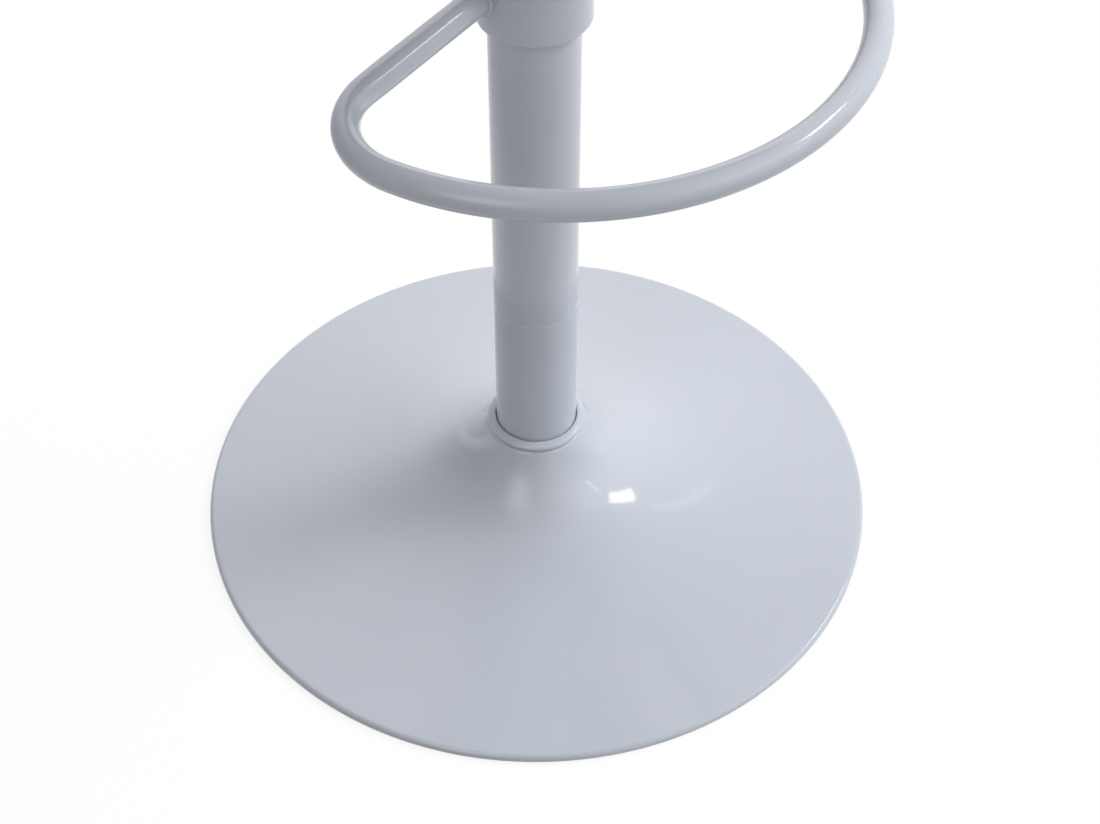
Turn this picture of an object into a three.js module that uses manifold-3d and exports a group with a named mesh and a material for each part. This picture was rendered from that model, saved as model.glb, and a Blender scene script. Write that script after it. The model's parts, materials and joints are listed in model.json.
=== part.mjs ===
// Adjustable bar stool: trumpet base, painted column with a wide footrest, gas lift and round padded seat.
// Millimetres, +Z up. The origin is on the floor under the column's axis, and the footrest points along -Y.
// The stool is shown at its lowest seat height.

import * as THREE from "three";
import { mergeVertices } from "three/addons/utils/BufferGeometryUtils.js";
import Module from "manifold-3d";

const wasm = await Module();
wasm.setup();

// Clearances
const seatGap = 0.3; // between pieces that touch or fit into each other
const cutOverrun = 2; // how far a cutting tool runs past the face it cuts

// Round pieces are many-sided: the number of sides goes by how large the piece looks
const rimSides = 48;
const tubeSides = 32;
const innerSides = 16;
const screwSides = 10;
const boreSides = 6;
const hexagonSides = 6;

// Trumpet base
const baseRadius = 205;
const sheetThickness = 1.2;
const rimHeight = 5.5;
const lipRound = 3;
const lipFloorClearance = 1;
const neckHeight = 67.2;
const neckEdgeRound = 4.5;
const neckEdgeDepth = 2.7;
const hubWall = 3.25;
const hubNeckClearance = 0.6;

// Pieces under the trumpet
const floorRingWidth = 24;
const floorRingShelfWidth = 11;
const floorRingShelfDepth = 0.9;
const floorRingBelowRim = 2.3;
const basePlateThickness = 1.5;
const ballastMargin = 40.2;
const ballastTopHeight = 17;
const ballastBoreClearance = 4;

// Column
const columnRadius = 24.15;
const columnWall = 2;
const columnEndRound = 1;

// Bead that covers the gap between the column and the trumpet's neck
const coverRingHeight = 3.7;
const coverRingInnerRound = 1.3;

// Plastic bush that guides the pressure tube at the column's top
const guideBushLength = 80;
const guideFlangeHeight = 5.5;
const guideFlangeRound = 1.5;

// Foot plate and thrust bearing inside the column's foot
const footPlateThickness = 4;
const raceThickness = 2.6;
const raceBoreClearance = 0.8;
const raceWidth = 9.2;
const ballRadius = 2.2;
const ballCount = 8;
const grooveDepth = 0.8;
const cageThickness = 1.6;
const cageWidth = 6.4;

// Piston rod and what it carries
const rodRadius = 5;
const rodFootHeight = 7.2;
const rodChamfer = 0.8;
const rodBelowClip = 2.2;
const clipThickness = 1.1;
const clipWidth = 3;
const clipSlotWidth = 5.6;
const clipGrooveDepth = 1;
const washerThickness = 1.5;
const washerWidth = 7;
const bumpStopHeight = 16;
const bumpStopWidth = 7;
const bumpStopTopWidth = 4;
const pistonHeight = 14;
const pistonGrooveDepth = 1;
const pistonGrooveWidth = 3;
const pistonShoulder = 1.8;
const pistonNutHeight = 5;
const pistonNutWall = 2.8;

// Pressure tube of the gas lift
const stroke = 210;
const exposedTubeLength = 72;
const pressureTubeRadius = 14;
const pressureTubeWall = 2;
const pressureLipWidth = 3;
const pressureLipThickness = 1.5;
const coneLength = 44;
const coneNarrowing = 1.1;
const glandHeight = 14;
const innerCylinderWall = 1.2;
const valveHeight = 24;
const valveNeckNarrowing = 2;
const buttonRadius = 3.5;
const buttonRise = 5.5;
const buttonDepth = 14;
const buttonChamfer = 0.8;

// Seat plate, channel and socket
const seatHeight = 650;
const channelHeight = 30;
const channelWidth = 60;
const channelLength = 140;
const channelFlangeWidth = 12;
const steelThickness = 2.5;
const coneProud = 2;
const socketWall = 4.5;
const socketBelowChannel = 34;
const seatPlateLength = 190;
const seatPlateCorner = 14;
const boltEdgeDistance = 17;
const boltHeadClearance = 10;
const boltRadius = 3;
const boltHeadOverhang = 3;
const boltHeadHeight = 3.6;
const boltHeadRound = 1.4;
const boltEndChamfer = 0.7;

// Seat
const boardInset = 4;
const boardThickness = 12;
const insertWall = 1.6;
const insertCover = 1.6;
const dustCoverThickness = 0.8;
const dustCoverMargin = 6;
const dustCoverHoleMargin = 5;
const cushionRadius = 187;
const cushionHeight = 62;
const cushionFootInset = 13;

// Release lever
const leverRodRadius = 4;
const leverPivotDistance = 24;
const leverInnerReach = 9;
const leverEyeWall = 4.7;
const leverEyeWidth = 12;
const leverPinRadius = 2.5;
const leverPinHeadOverhang = 2;
const leverPinHeadHeight = 2;
const leverBendClearance = 18;
const leverBendRun = 36;
const leverStraight = 20;
const leverDrop = 20;
const leverReach = 202;
const leverBendRound = 14;
const gripWall = 3.2;
const gripEndRound = 3;

// Footrest
const columnAboveCollar = 27.5;
const footrestTubeRadius = 7.5;
const footrestTubeWall = 1.5;
const footrestReach = 174;
const frontArcRadius = 155;
const frontArcHalfAngle = THREE.MathUtils.degToRad(70.7);
const cornerRadius = 42.5;
const armOffset = 12.2;
const collarHeight = 40;
const collarWall = 5.5;
const collarRound = 1.5;
const collarScrewRadius = 3;
const collarScrewInset = 8;
const collarScrewProud = 1.5;
const collarScrewSocketRadius = 1.7;
const collarScrewSocketDepth = 3;

const quarterTurn = Math.PI / 2;

// Colours and finishes
function paint(color, roughness, metalness) {
  return new THREE.MeshStandardMaterial({ color, roughness, metalness });
}
const lacquer = () => paint(0xc8cdd6, 0.22, 0.1);
const blackPlastic = () => paint(0x1c1c1e, 0.5, 0);
const blackRubber = () => paint(0x161616, 0.85, 0);
const castIron = () => paint(0x3b3d40, 0.8, 0.6);
const zincSteel = () => paint(0xb4b8bc, 0.4, 0.9);
const brightSteel = () => paint(0xd0d3d6, 0.2, 1);
const bearingSteel = () => paint(0xa9adb2, 0.25, 1);
const blackSteel = () => paint(0x26282b, 0.45, 0.5);
const brassFinish = () => paint(0xb49346, 0.35, 1);
const plywood = () => paint(0xc19a68, 0.75, 0);
const dustFabric = () => paint(0x1b1b1c, 0.95, 0);
const upholstery = () => paint(0xd6d7da, 0.55, 0);

// A closed body: shared vertices merged, flat triangles dropped and the faces turned outwards
function closed(geometry) {
  const bare = geometry.clone();
  bare.deleteAttribute("normal");
  bare.deleteAttribute("uv");
  const merged = mergeVertices(bare);
  const points = merged.attributes.position;
  const a = new THREE.Vector3();
  const b = new THREE.Vector3();
  const c = new THREE.Vector3();
  const kept = [];
  let volume = 0;
  for (let i = 0; i < merged.index.count; i += 3) {
    const corners = [0, 1, 2].map((step) => merged.index.getX(i + step));
    if (new Set(corners).size < 3) continue;
    a.fromBufferAttribute(points, corners[0]);
    b.fromBufferAttribute(points, corners[1]);
    c.fromBufferAttribute(points, corners[2]);
    volume += a.dot(b.cross(c));
    kept.push(...corners);
  }
  if (volume < 0) kept.reverse();
  merged.setIndex(kept);
  return merged;
}

function toManifold(geometry) {
  const body = closed(geometry);
  return new wasm.Manifold(
    new wasm.Mesh({
      numProp: 3,
      vertProperties: new Float32Array(body.attributes.position.array),
      triVerts: new Uint32Array(body.index.array),
    })
  );
}

function fromManifold(body) {
  const mesh = body.getMesh();
  const geometry = new THREE.BufferGeometry();
  geometry.setAttribute("position", new THREE.BufferAttribute(mesh.vertProperties, 3));
  geometry.setIndex(new THREE.BufferAttribute(mesh.triVerts, 1));
  return geometry;
}

function cut(geometry, tools) {
  let body = toManifold(geometry);
  for (const tool of tools) {
    body = body.subtract(toManifold(tool));
  }
  return fromManifold(body);
}

function join(geometries) {
  let body = toManifold(geometries[0]);
  for (const other of geometries.slice(1)) {
    body = body.add(toManifold(other));
  }
  return fromManifold(body);
}

// Turns an outline of [radius, height] points round the Z axis
function revolve(outline, sides) {
  const points = outline.map(([radius, height]) => new THREE.Vector2(radius, height));
  const first = points[0];
  const last = points[points.length - 1];
  const open = first.x > 0 || last.x > 0;
  if (open) points.push(first.clone());
  return new THREE.LatheGeometry(points, sides).rotateX(quarterTurn);
}

// A plain ring or sleeve, standing on Z = 0
function sleeve(innerRadius, outerRadius, height, sides) {
  const outline = [
    [innerRadius, 0],
    [outerRadius, 0],
    [outerRadius, height],
    [innerRadius, height],
  ];
  return revolve(outline, sides);
}

// A plain round bar, standing on Z = 0
function bar(radius, height, sides) {
  const standing = new THREE.CylinderGeometry(radius, radius, height, sides).rotateX(quarterTurn);
  return standing.translate(0, 0, height / 2);
}

function arcPoints(centreX, centreY, radiusX, radiusY, from, to, steps) {
  const points = [];
  for (let i = 0; i <= steps; i++) {
    const angle = from + ((to - from) * i) / steps;
    points.push([centreX + radiusX * Math.cos(angle), centreY + radiusY * Math.sin(angle)]);
  }
  return points;
}

function circleShape(radius, sides) {
  const points = arcPoints(0, 0, radius, radius, 0, 2 * Math.PI, sides).slice(1);
  return new THREE.Shape(points.map(([x, y]) => new THREE.Vector2(x, y)));
}

function circleHole(x, y, radius, sides) {
  const points = arcPoints(x, y, radius, radius, 0, 2 * Math.PI, sides).slice(1);
  return new THREE.Path(points.map(([holeX, holeY]) => new THREE.Vector2(holeX, holeY)));
}

function part(name, geometry, material, x = 0, y = 0, z = 0) {
  const mesh = new THREE.Mesh(closed(geometry), material);
  mesh.name = name;
  mesh.position.set(x, y, z);
  return mesh;
}

// The neck goes round the hub, and the hub round the column
const hubInnerRadius = columnRadius + seatGap;
const hubOuterRadius = hubInnerRadius + hubWall;
const neckInnerRadius = hubOuterRadius + hubNeckClearance;
const neckRadius = neckInnerRadius + sheetThickness;

// Trumpet base: a pressed sheet whose outside follows a hyperbola from the neck to the rim
const rimStart = baseRadius - lipRound;
const flareDepth = (neckHeight - rimHeight) / (rimStart / neckRadius - 1);
const flare = (radius) => rimHeight + flareDepth * (rimStart / radius - 1);
const flareSlope = (radius) => (flareDepth * rimStart) / radius ** 2;
const flareNormal = (radius) => Math.atan2(1, flareSlope(radius));
const underFlare = (radius, distance) => flare(radius) - distance * Math.hypot(1, flareSlope(radius));

// The neck's edge leaves the hyperbola on a tangent and turns in towards the hub
const neckEdgeHeight = neckHeight - neckEdgeDepth;
const neckEdgeRadius = rimStart / ((neckEdgeHeight - rimHeight) / flareDepth + 1);
const neckEdgeStart = flareNormal(neckEdgeRadius);
const neckEdgeCentre = {
  radius: neckEdgeRadius - neckEdgeRound * Math.cos(neckEdgeStart),
  height: neckEdgeHeight - neckEdgeRound * Math.sin(neckEdgeStart),
};

// Points of a curve that runs beside the neck's edge, between two angles about the edge's centre
function besideNeckEdge(distance, from, to, steps) {
  const round = neckEdgeRound + distance;
  return arcPoints(neckEdgeCentre.radius, neckEdgeCentre.height, round, round, from, to, steps);
}

// The angle about the edge's centre at which that curve reaches a radius
const neckEdgeAngle = (radius, distance) =>
  Math.acos((radius - neckEdgeCentre.radius) / (neckEdgeRound + distance));

function flareRadii(from, to, steps) {
  const radii = [];
  for (let i = 0; i <= steps; i++) {
    radii.push(from * (to / from) ** (i / steps));
  }
  return radii;
}

function trumpetBase() {
  const outerSteps = 12;
  const innerSteps = 6;
  const lipSteps = 3;
  const edgeSteps = 2;
  const offset = (radius) => {
    const normal = flareNormal(radius);
    return [radius - sheetThickness * Math.cos(normal), flare(radius) - sheetThickness * Math.sin(normal)];
  };
  const edgeTop = neckEdgeAngle(neckInnerRadius, 0);
  const edgeUnderside = neckEdgeAngle(neckInnerRadius, -sheetThickness);
  const lipCentre = rimHeight - lipRound;
  const innerLip = lipRound - sheetThickness;
  const outline = [
    ...besideNeckEdge(0, edgeTop, neckEdgeStart, edgeSteps).slice(0, -1),
    ...flareRadii(neckEdgeRadius, rimStart, outerSteps).map((radius) => [radius, flare(radius)]),
    ...arcPoints(rimStart, lipCentre, lipRound, lipRound, quarterTurn, 0, lipSteps).slice(1),
    [baseRadius, lipFloorClearance],
    [baseRadius - sheetThickness, lipFloorClearance],
    ...arcPoints(rimStart, lipCentre, innerLip, innerLip, 0, quarterTurn, lipSteps - 1).slice(0, -1),
    ...flareRadii(rimStart, neckEdgeRadius, innerSteps).map(offset),
    ...besideNeckEdge(-sheetThickness, neckEdgeStart, edgeUnderside, 1).slice(1),
  ];
  return part("trumpet_base", revolve(outline, rimSides), lacquer());
}

// Rubber ring that stands on the floor, with a shelf inside for the base plate
const floorRingHeight = rimHeight - floorRingBelowRim;
const floorRingShelfHeight = floorRingHeight - floorRingShelfDepth;
const floorRingRadius = baseRadius - sheetThickness - seatGap;
const basePlateRadius = floorRingRadius - floorRingWidth + floorRingShelfWidth - seatGap;
const basePlateLevel = floorRingShelfHeight + seatGap;
const basePlateTop = basePlateLevel + basePlateThickness;

function floorRing() {
  const inner = floorRingRadius - floorRingWidth;
  const step = inner + floorRingShelfWidth;
  const outline = [
    [inner, 0],
    [floorRingRadius, 0],
    [floorRingRadius, lipFloorClearance],
    [floorRingRadius - seatGap, floorRingHeight],
    [step, floorRingHeight],
    [step, floorRingShelfHeight],
    [inner, floorRingShelfHeight],
  ];
  return part("floor_ring", revolve(outline, rimSides), blackRubber());
}

// Steel plate that closes the base from below, open in the middle under the rod's end
const footOpeningRadius = columnRadius - columnWall;

function basePlate() {
  const plate = sleeve(footOpeningRadius, basePlateRadius, basePlateThickness, rimSides);
  return part("base_plate", plate, zincSteel(), 0, 0, basePlateLevel);
}

// Hub that the column's foot stands in, welded to the base plate
const hubLevel = basePlateTop + seatGap;

function hubSocket() {
  const hub = sleeve(hubInnerRadius, hubOuterRadius, neckHeight - hubLevel, tubeSides);
  return part("hub_socket", hub, zincSteel(), 0, 0, hubLevel);
}

// Cast iron weight on the base plate, its top held clear of the sheet
const ballastRadius = basePlateRadius - ballastMargin;

function baseBallast() {
  const steps = 7;
  const bore = hubOuterRadius + ballastBoreClearance;
  const top = (radius) => Math.min(underFlare(radius, sheetThickness + seatGap), ballastTopHeight);
  const slopeRadii = flareRadii(ballastRadius, ballastRadius / 2, steps);
  const outline = [
    [bore, hubLevel],
    [ballastRadius, hubLevel],
    ...slopeRadii.map((radius) => [radius, top(radius)]),
    [bore, ballastTopHeight],
  ];
  return part("base_ballast", revolve(outline, tubeSides), castIron());
}

// Rounded bead round the column: it rests on the hub, and its skirt follows the neck's rounded edge
const coverRingLevel = neckHeight + seatGap;

function neckCoverRing() {
  const inner = columnRadius + seatGap;
  const outer = neckRadius;
  const crown = inner + coverRingInnerRound;
  const outerSweep = outer - crown;
  const foot = coverRingHeight / 5;
  const rise = coverRingHeight - foot;
  const innerRise = coverRingHeight - coverRingInnerRound;
  const innerRound = coverRingInnerRound;
  const skirtInside = neckEdgeAngle(neckInnerRadius, seatGap);
  const skirtOutside = neckEdgeAngle(outer, seatGap);
  const skirt = besideNeckEdge(seatGap, skirtInside, skirtOutside, 1);
  const outline = [
    [inner, 0],
    [hubOuterRadius, 0],
    ...skirt.map(([radius, height]) => [radius, height - coverRingLevel]),
    ...arcPoints(crown, foot, outerSweep, rise, 0, quarterTurn, 5),
    ...arcPoints(crown, innerRise, innerRound, innerRound, quarterTurn, 2 * quarterTurn, 2).slice(1),
  ];
  return part("neck_cover_ring", revolve(outline, tubeSides), lacquer(), 0, 0, coverRingLevel);
}

// Levels under the seat at its lowest, from the cushion's top down to the column's top and the footrest
const boardTop = seatHeight - cushionHeight - seatGap;
const boardLevel = boardTop - boardThickness;
const dustCoverLevel = boardLevel - seatGap - dustCoverThickness;
const seatPlateLevel = dustCoverLevel - seatGap - steelThickness;
const channelFoot = seatPlateLevel - seatGap - channelHeight;
const socketTop = channelFoot + steelThickness;
const socketFoot = channelFoot - socketBelowChannel;
const tubeTop = socketTop + coneProud;
const leverLevel = tubeTop + buttonRise + seatGap + leverRodRadius;
const columnTopHeight = socketFoot - exposedTubeLength - guideFlangeHeight;
const footrestHeight = columnTopHeight - columnAboveCollar - collarHeight / 2;

// Column: one painted steel tube from the hub to the guide bush
const columnInnerRadius = columnRadius - columnWall;

function columnTube() {
  const height = columnTopHeight - hubLevel;
  const outline = [
    [columnInnerRadius, 0],
    [columnRadius - columnEndRound, 0],
    [columnRadius, columnEndRound],
    [columnRadius, height - columnEndRound],
    [columnRadius - columnEndRound, height],
    [columnInnerRadius, height],
  ];
  return part("column_tube", revolve(outline, tubeSides), lacquer(), 0, 0, hubLevel);
}

// Guide bush: a sleeve down inside the column with a flange that caps the column's end
function guideBush() {
  const bore = pressureTubeRadius + seatGap;
  const outline = [
    [bore, -guideBushLength],
    [columnInnerRadius - seatGap, -guideBushLength],
    [columnInnerRadius - seatGap, seatGap],
    [columnRadius, seatGap],
    [columnRadius, guideFlangeHeight - guideFlangeRound],
    [columnRadius - guideFlangeRound, guideFlangeHeight],
    [bore, guideFlangeHeight],
  ];
  return part("guide_bush", revolve(outline, tubeSides), blackPlastic(), 0, 0, columnTopHeight);
}

// Levels up the foot of the rod: clip, washer, foot plate, bearing and bump stop
const clipHeight = rodFootHeight + rodBelowClip;
const washerLevel = clipHeight + clipThickness + seatGap;
const footPlateLevel = washerLevel + washerThickness + seatGap;
const lowerRaceLevel = footPlateLevel + footPlateThickness + seatGap;
const grooveRadius = ballRadius + seatGap;
const ballLevel = lowerRaceLevel + raceThickness - grooveDepth + grooveRadius;
const upperRaceLevel = ballLevel + grooveRadius - grooveDepth;
const bumpStopLevel = upperRaceLevel + raceThickness + seatGap;
const pressureTubeLevel = bumpStopLevel + bumpStopHeight + seatGap;

function columnFootPlate() {
  const plate = sleeve(rodRadius + seatGap, columnInnerRadius - seatGap, footPlateThickness, innerSides);
  return part("column_foot_plate", plate, zincSteel(), 0, 0, footPlateLevel);
}

// Bearing race: a washer with a round groove, its groove facing up
const raceInnerRadius = rodRadius + raceBoreClearance;
const raceOuterRadius = raceInnerRadius + raceWidth;
const ballCircleRadius = raceInnerRadius + raceWidth / 2;

function raceOutline() {
  const halfAngle = Math.acos((grooveRadius - grooveDepth) / grooveRadius);
  const centre = raceThickness - grooveDepth + grooveRadius;
  const start = -quarterTurn + halfAngle;
  const end = -quarterTurn - halfAngle;
  return [
    [raceInnerRadius, 0],
    [raceOuterRadius, 0],
    [raceOuterRadius, raceThickness],
    ...arcPoints(ballCircleRadius, centre, grooveRadius, grooveRadius, start, end, 4),
    [raceInnerRadius, raceThickness],
  ];
}

function bearingLowerRace() {
  const race = revolve(raceOutline(), innerSides);
  return part("bearing_lower_race", race, bearingSteel(), 0, 0, lowerRaceLevel);
}

function bearingUpperRace() {
  const outline = raceOutline().map(([radius, height]) => [radius, raceThickness - height]);
  return part("bearing_upper_race", revolve(outline, innerSides), bearingSteel(), 0, 0, upperRaceLevel);
}

// Cage with its balls, which turns at half the rod's speed
function bearingBallCage() {
  const inner = ballCircleRadius - cageWidth / 2;
  const ring = sleeve(inner, inner + cageWidth, cageThickness, innerSides);
  ring.translate(0, 0, -cageThickness / 2);
  const balls = [];
  for (let i = 0; i < ballCount; i++) {
    const angle = (2 * Math.PI * i) / ballCount;
    const ball = new THREE.SphereGeometry(ballRadius, 6, 4);
    ball.translate(ballCircleRadius * Math.cos(angle), ballCircleRadius * Math.sin(angle), 0);
    balls.push(ball);
  }
  return part("bearing_ball_cage", join([ring, ...balls]), bearingSteel(), 0, 0, ballLevel);
}

// Spring clip in the rod's groove, open on one side
function rodClip() {
  const inner = rodRadius - clipGrooveDepth + seatGap;
  const clipRadius = rodRadius + clipWidth;
  const shape = new THREE.Shape();
  const outerAngle = Math.asin(clipSlotWidth / 2 / clipRadius);
  const innerAngle = Math.asin(clipSlotWidth / 2 / inner);
  shape.absarc(0, 0, clipRadius, outerAngle, 2 * Math.PI - outerAngle, false);
  shape.absarc(0, 0, inner, 2 * Math.PI - innerAngle, innerAngle, true);
  const flat = { depth: clipThickness, bevelEnabled: false, curveSegments: 10 };
  const clip = new THREE.ExtrudeGeometry(shape, flat);
  return part("rod_clip", clip, bearingSteel(), 0, 0, clipHeight);
}

function rodWasher() {
  const washer = sleeve(rodRadius + seatGap, rodRadius + washerWidth, washerThickness, innerSides);
  return part("rod_washer", washer, zincSteel(), 0, 0, washerLevel);
}

function bumpStop() {
  const shoulder = bumpStopHeight / 2;
  const outline = [
    [rodRadius + seatGap, 0],
    [rodRadius + bumpStopWidth, 0],
    [rodRadius + bumpStopWidth, shoulder],
    [rodRadius + bumpStopTopWidth, bumpStopHeight],
    [rodRadius + seatGap, bumpStopHeight],
  ];
  return part("bump_stop", revolve(outline, innerSides), blackRubber(), 0, 0, bumpStopLevel);
}

// Radii inside the pressure tube, each from the piece round it
const tubeInnerRadius = pressureTubeRadius - pressureTubeWall;
const innerCylinderRadius = tubeInnerRadius - coneNarrowing - seatGap;
const pistonRadius = innerCylinderRadius - innerCylinderWall - seatGap;
const pistonStudRadius = rodRadius - pistonShoulder;

// At full height the gland meets the piston, so the piston's level follows the stroke
const glandLevel = pressureTubeLevel + pressureLipThickness + seatGap;
const pistonLevel = glandLevel + glandHeight + stroke + seatGap;
const pistonNutLevel = pistonLevel + pistonHeight + seatGap;

function pistonRod() {
  const grooveTop = clipHeight + clipThickness + seatGap / 2;
  const grooveFoot = clipHeight - seatGap / 2;
  const grooveCore = rodRadius - clipGrooveDepth;
  const outline = [
    [0, rodFootHeight],
    [grooveCore, rodFootHeight],
    [rodRadius, rodFootHeight + rodChamfer],
    [rodRadius, grooveFoot],
    [grooveCore, grooveFoot],
    [grooveCore, grooveTop],
    [rodRadius, grooveTop],
    [rodRadius, pistonLevel - seatGap],
    [pistonStudRadius, pistonLevel - seatGap],
    [pistonStudRadius, pistonNutLevel + pistonNutHeight],
    [0, pistonNutLevel + pistonNutHeight],
  ];
  return part("piston_rod", revolve(outline, innerSides), brightSteel());
}

// Piston with its sealing groove
function pistonHead() {
  const bore = pistonStudRadius + seatGap;
  const grooveFoot = (pistonHeight - pistonGrooveWidth) / 2;
  const outline = [
    [bore, 0],
    [pistonRadius, 0],
    [pistonRadius, grooveFoot],
    [pistonRadius - pistonGrooveDepth, grooveFoot],
    [pistonRadius - pistonGrooveDepth, grooveFoot + pistonGrooveWidth],
    [pistonRadius, grooveFoot + pistonGrooveWidth],
    [pistonRadius, pistonHeight],
    [bore, pistonHeight],
  ];
  return part("piston_head", revolve(outline, innerSides), zincSteel(), 0, 0, pistonLevel);
}

function pistonNut() {
  const hexagon = bar(pistonStudRadius + pistonNutWall, pistonNutHeight, hexagonSides);
  const bore = bar(pistonStudRadius + seatGap, pistonNutHeight + 2 * cutOverrun, screwSides);
  const nut = cut(hexagon, [bore.translate(0, 0, -cutOverrun)]);
  return part("piston_nut", nut, zincSteel(), 0, 0, pistonNutLevel);
}

// Pressure tube: straight below, narrowing to a taper where the seat's socket grips it
function pressureTube() {
  const height = tubeTop - pressureTubeLevel;
  const coneFoot = height - coneLength;
  const lipInner = tubeInnerRadius - pressureLipWidth;
  const topLipInner = buttonRadius + valveNeckNarrowing + seatGap;
  const outline = [
    [lipInner, 0],
    [pressureTubeRadius - pressureLipThickness, 0],
    [pressureTubeRadius, pressureLipThickness],
    [pressureTubeRadius, coneFoot],
    [pressureTubeRadius - coneNarrowing, height],
    [topLipInner, height],
    [topLipInner, height - pressureLipThickness],
    [tubeInnerRadius - coneNarrowing, height - pressureLipThickness],
    [tubeInnerRadius, coneFoot],
    [tubeInnerRadius, pressureLipThickness],
    [lipInner, pressureLipThickness],
  ];
  return part("pressure_tube", revolve(outline, tubeSides), brightSteel(), 0, 0, pressureTubeLevel);
}

// Gland that seals the rod at the pressure tube's foot
function rodGland() {
  const outer = tubeInnerRadius - seatGap;
  const sealGroove = outer - pistonGrooveDepth;
  const grooveFoot = (glandHeight - pistonGrooveWidth) / 2;
  const outline = [
    [rodRadius + seatGap, 0],
    [outer, 0],
    [outer, grooveFoot],
    [sealGroove, grooveFoot],
    [sealGroove, grooveFoot + pistonGrooveWidth],
    [outer, grooveFoot + pistonGrooveWidth],
    [outer, glandHeight],
    [rodRadius + seatGap, glandHeight],
  ];
  return part("rod_gland", revolve(outline, innerSides), blackPlastic(), 0, 0, glandLevel);
}

const valveTop = tubeTop - pressureLipThickness - seatGap;
const valveLevel = valveTop - valveHeight;

// Cylinder that the piston runs in, from the gland to the valve
function innerCylinder() {
  const foot = glandLevel + glandHeight + seatGap;
  const inner = innerCylinderRadius - innerCylinderWall;
  const cylinder = sleeve(inner, innerCylinderRadius, valveLevel - seatGap - foot, innerSides);
  return part("inner_cylinder", cylinder, zincSteel(), 0, 0, foot);
}

// Valve body under the pressure tube's top lip, bored for the release button
function valveBody() {
  const bore = buttonRadius + seatGap;
  const outer = tubeInnerRadius - coneNarrowing - seatGap;
  const waist = outer - valveNeckNarrowing;
  const waistFoot = valveHeight / 3;
  const waistTop = 2 * waistFoot;
  const outline = [
    [bore, 0],
    [outer, 0],
    [outer, waistFoot],
    [waist, waistFoot],
    [waist, waistTop],
    [outer, waistTop],
    [outer, valveHeight],
    [bore, valveHeight],
  ];
  return part("valve_body", revolve(outline, innerSides), brassFinish(), 0, 0, valveLevel);
}

function releaseButton() {
  const height = buttonDepth + buttonRise;
  const outline = [
    [0, 0],
    [buttonRadius - buttonChamfer, 0],
    [buttonRadius, buttonChamfer],
    [buttonRadius, height - buttonChamfer],
    [buttonRadius - buttonChamfer, height],
    [0, height],
  ];
  return part("release_button", revolve(outline, innerSides), brightSteel(), 0, 0, tubeTop - buttonDepth);
}

// Socket welded through the channel, its bore tapered like the pressure tube's end
function taperRadius(level) {
  const coneFoot = tubeTop - coneLength;
  const share = Math.max(0, level - coneFoot) / coneLength;
  return pressureTubeRadius - coneNarrowing * share;
}

function seatSocket() {
  const outer = pressureTubeRadius + seatGap + socketWall;
  const outline = [
    [taperRadius(socketFoot) + seatGap, 0],
    [outer, 0],
    [outer, socketTop - socketFoot],
    [taperRadius(socketTop) + seatGap, socketTop - socketFoot],
  ];
  return part("seat_socket", revolve(outline, tubeSides), blackSteel(), 0, 0, socketFoot);
}

// Channel under the seat plate: a hat section along X, open at both ends
function seatChannel() {
  const halfWidth = channelWidth / 2;
  const inner = halfWidth - steelThickness;
  const flange = halfWidth + channelFlangeWidth;
  const ledge = channelHeight - steelThickness;
  const corners = [
    [flange, channelHeight],
    [inner, channelHeight],
    [inner, steelThickness],
    [-inner, steelThickness],
    [-inner, channelHeight],
    [-flange, channelHeight],
    [-flange, ledge],
    [-halfWidth, ledge],
    [-halfWidth, 0],
    [halfWidth, 0],
    [halfWidth, ledge],
    [flange, ledge],
  ];
  const section = new THREE.Shape(corners.map(([across, up]) => new THREE.Vector2(across, up)));
  const hat = new THREE.ExtrudeGeometry(section, { depth: channelLength, bevelEnabled: false });
  hat.rotateX(quarterTurn).rotateZ(quarterTurn).translate(-channelLength / 2, 0, 0);
  const socketBoreRadius = pressureTubeRadius + socketWall + 2 * seatGap;
  const socketBore = bar(socketBoreRadius, steelThickness + 2 * cutOverrun, tubeSides);
  const pinBore = bar(leverPinRadius + seatGap, channelWidth + 2 * cutOverrun, screwSides);
  pinBore.translate(0, 0, -channelWidth / 2 - cutOverrun).rotateX(quarterTurn);
  const tools = [
    socketBore.translate(0, 0, -cutOverrun),
    pinBore.translate(-leverPivotDistance, 0, leverLevel - channelFoot),
  ];
  return part("seat_channel", cut(hat, tools), blackSteel(), 0, 0, channelFoot);
}

// The four places where the seat plate is bolted to the board, beside the channel's flanges
const boltHeadRadius = boltRadius + boltHeadOverhang;
const boltSpacingX = seatPlateLength - 2 * boltEdgeDistance;
const boltSpacingY = channelWidth + 2 * (channelFlangeWidth + boltHeadClearance + boltHeadRadius);
const seatPlateWidth = boltSpacingY + 2 * boltEdgeDistance;
const boltPlaces = [];
for (const sideX of [-1, 1]) {
  for (const sideY of [-1, 1]) {
    boltPlaces.push([(sideX * boltSpacingX) / 2, (sideY * boltSpacingY) / 2]);
  }
}

function seatPlate() {
  const x = seatPlateLength / 2;
  const y = seatPlateWidth / 2;
  const flat = { depth: steelThickness, bevelEnabled: false, curveSegments: 6 };
  const shape = new THREE.Shape();
  const corners = [
    [x, y],
    [-x, y],
    [-x, -y],
    [x, -y],
  ];
  corners.forEach(([cornerX, cornerY], i) => {
    const centreX = cornerX - Math.sign(cornerX) * seatPlateCorner;
    const centreY = cornerY - Math.sign(cornerY) * seatPlateCorner;
    shape.absarc(centreX, centreY, seatPlateCorner, i * quarterTurn, (i + 1) * quarterTurn);
  });
  for (const [placeX, placeY] of boltPlaces) {
    shape.holes.push(circleHole(placeX, placeY, boltRadius + seatGap, screwSides));
  }
  const plate = new THREE.ExtrudeGeometry(shape, flat);
  return part("seat_plate", plate, blackSteel(), 0, 0, seatPlateLevel);
}

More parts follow.
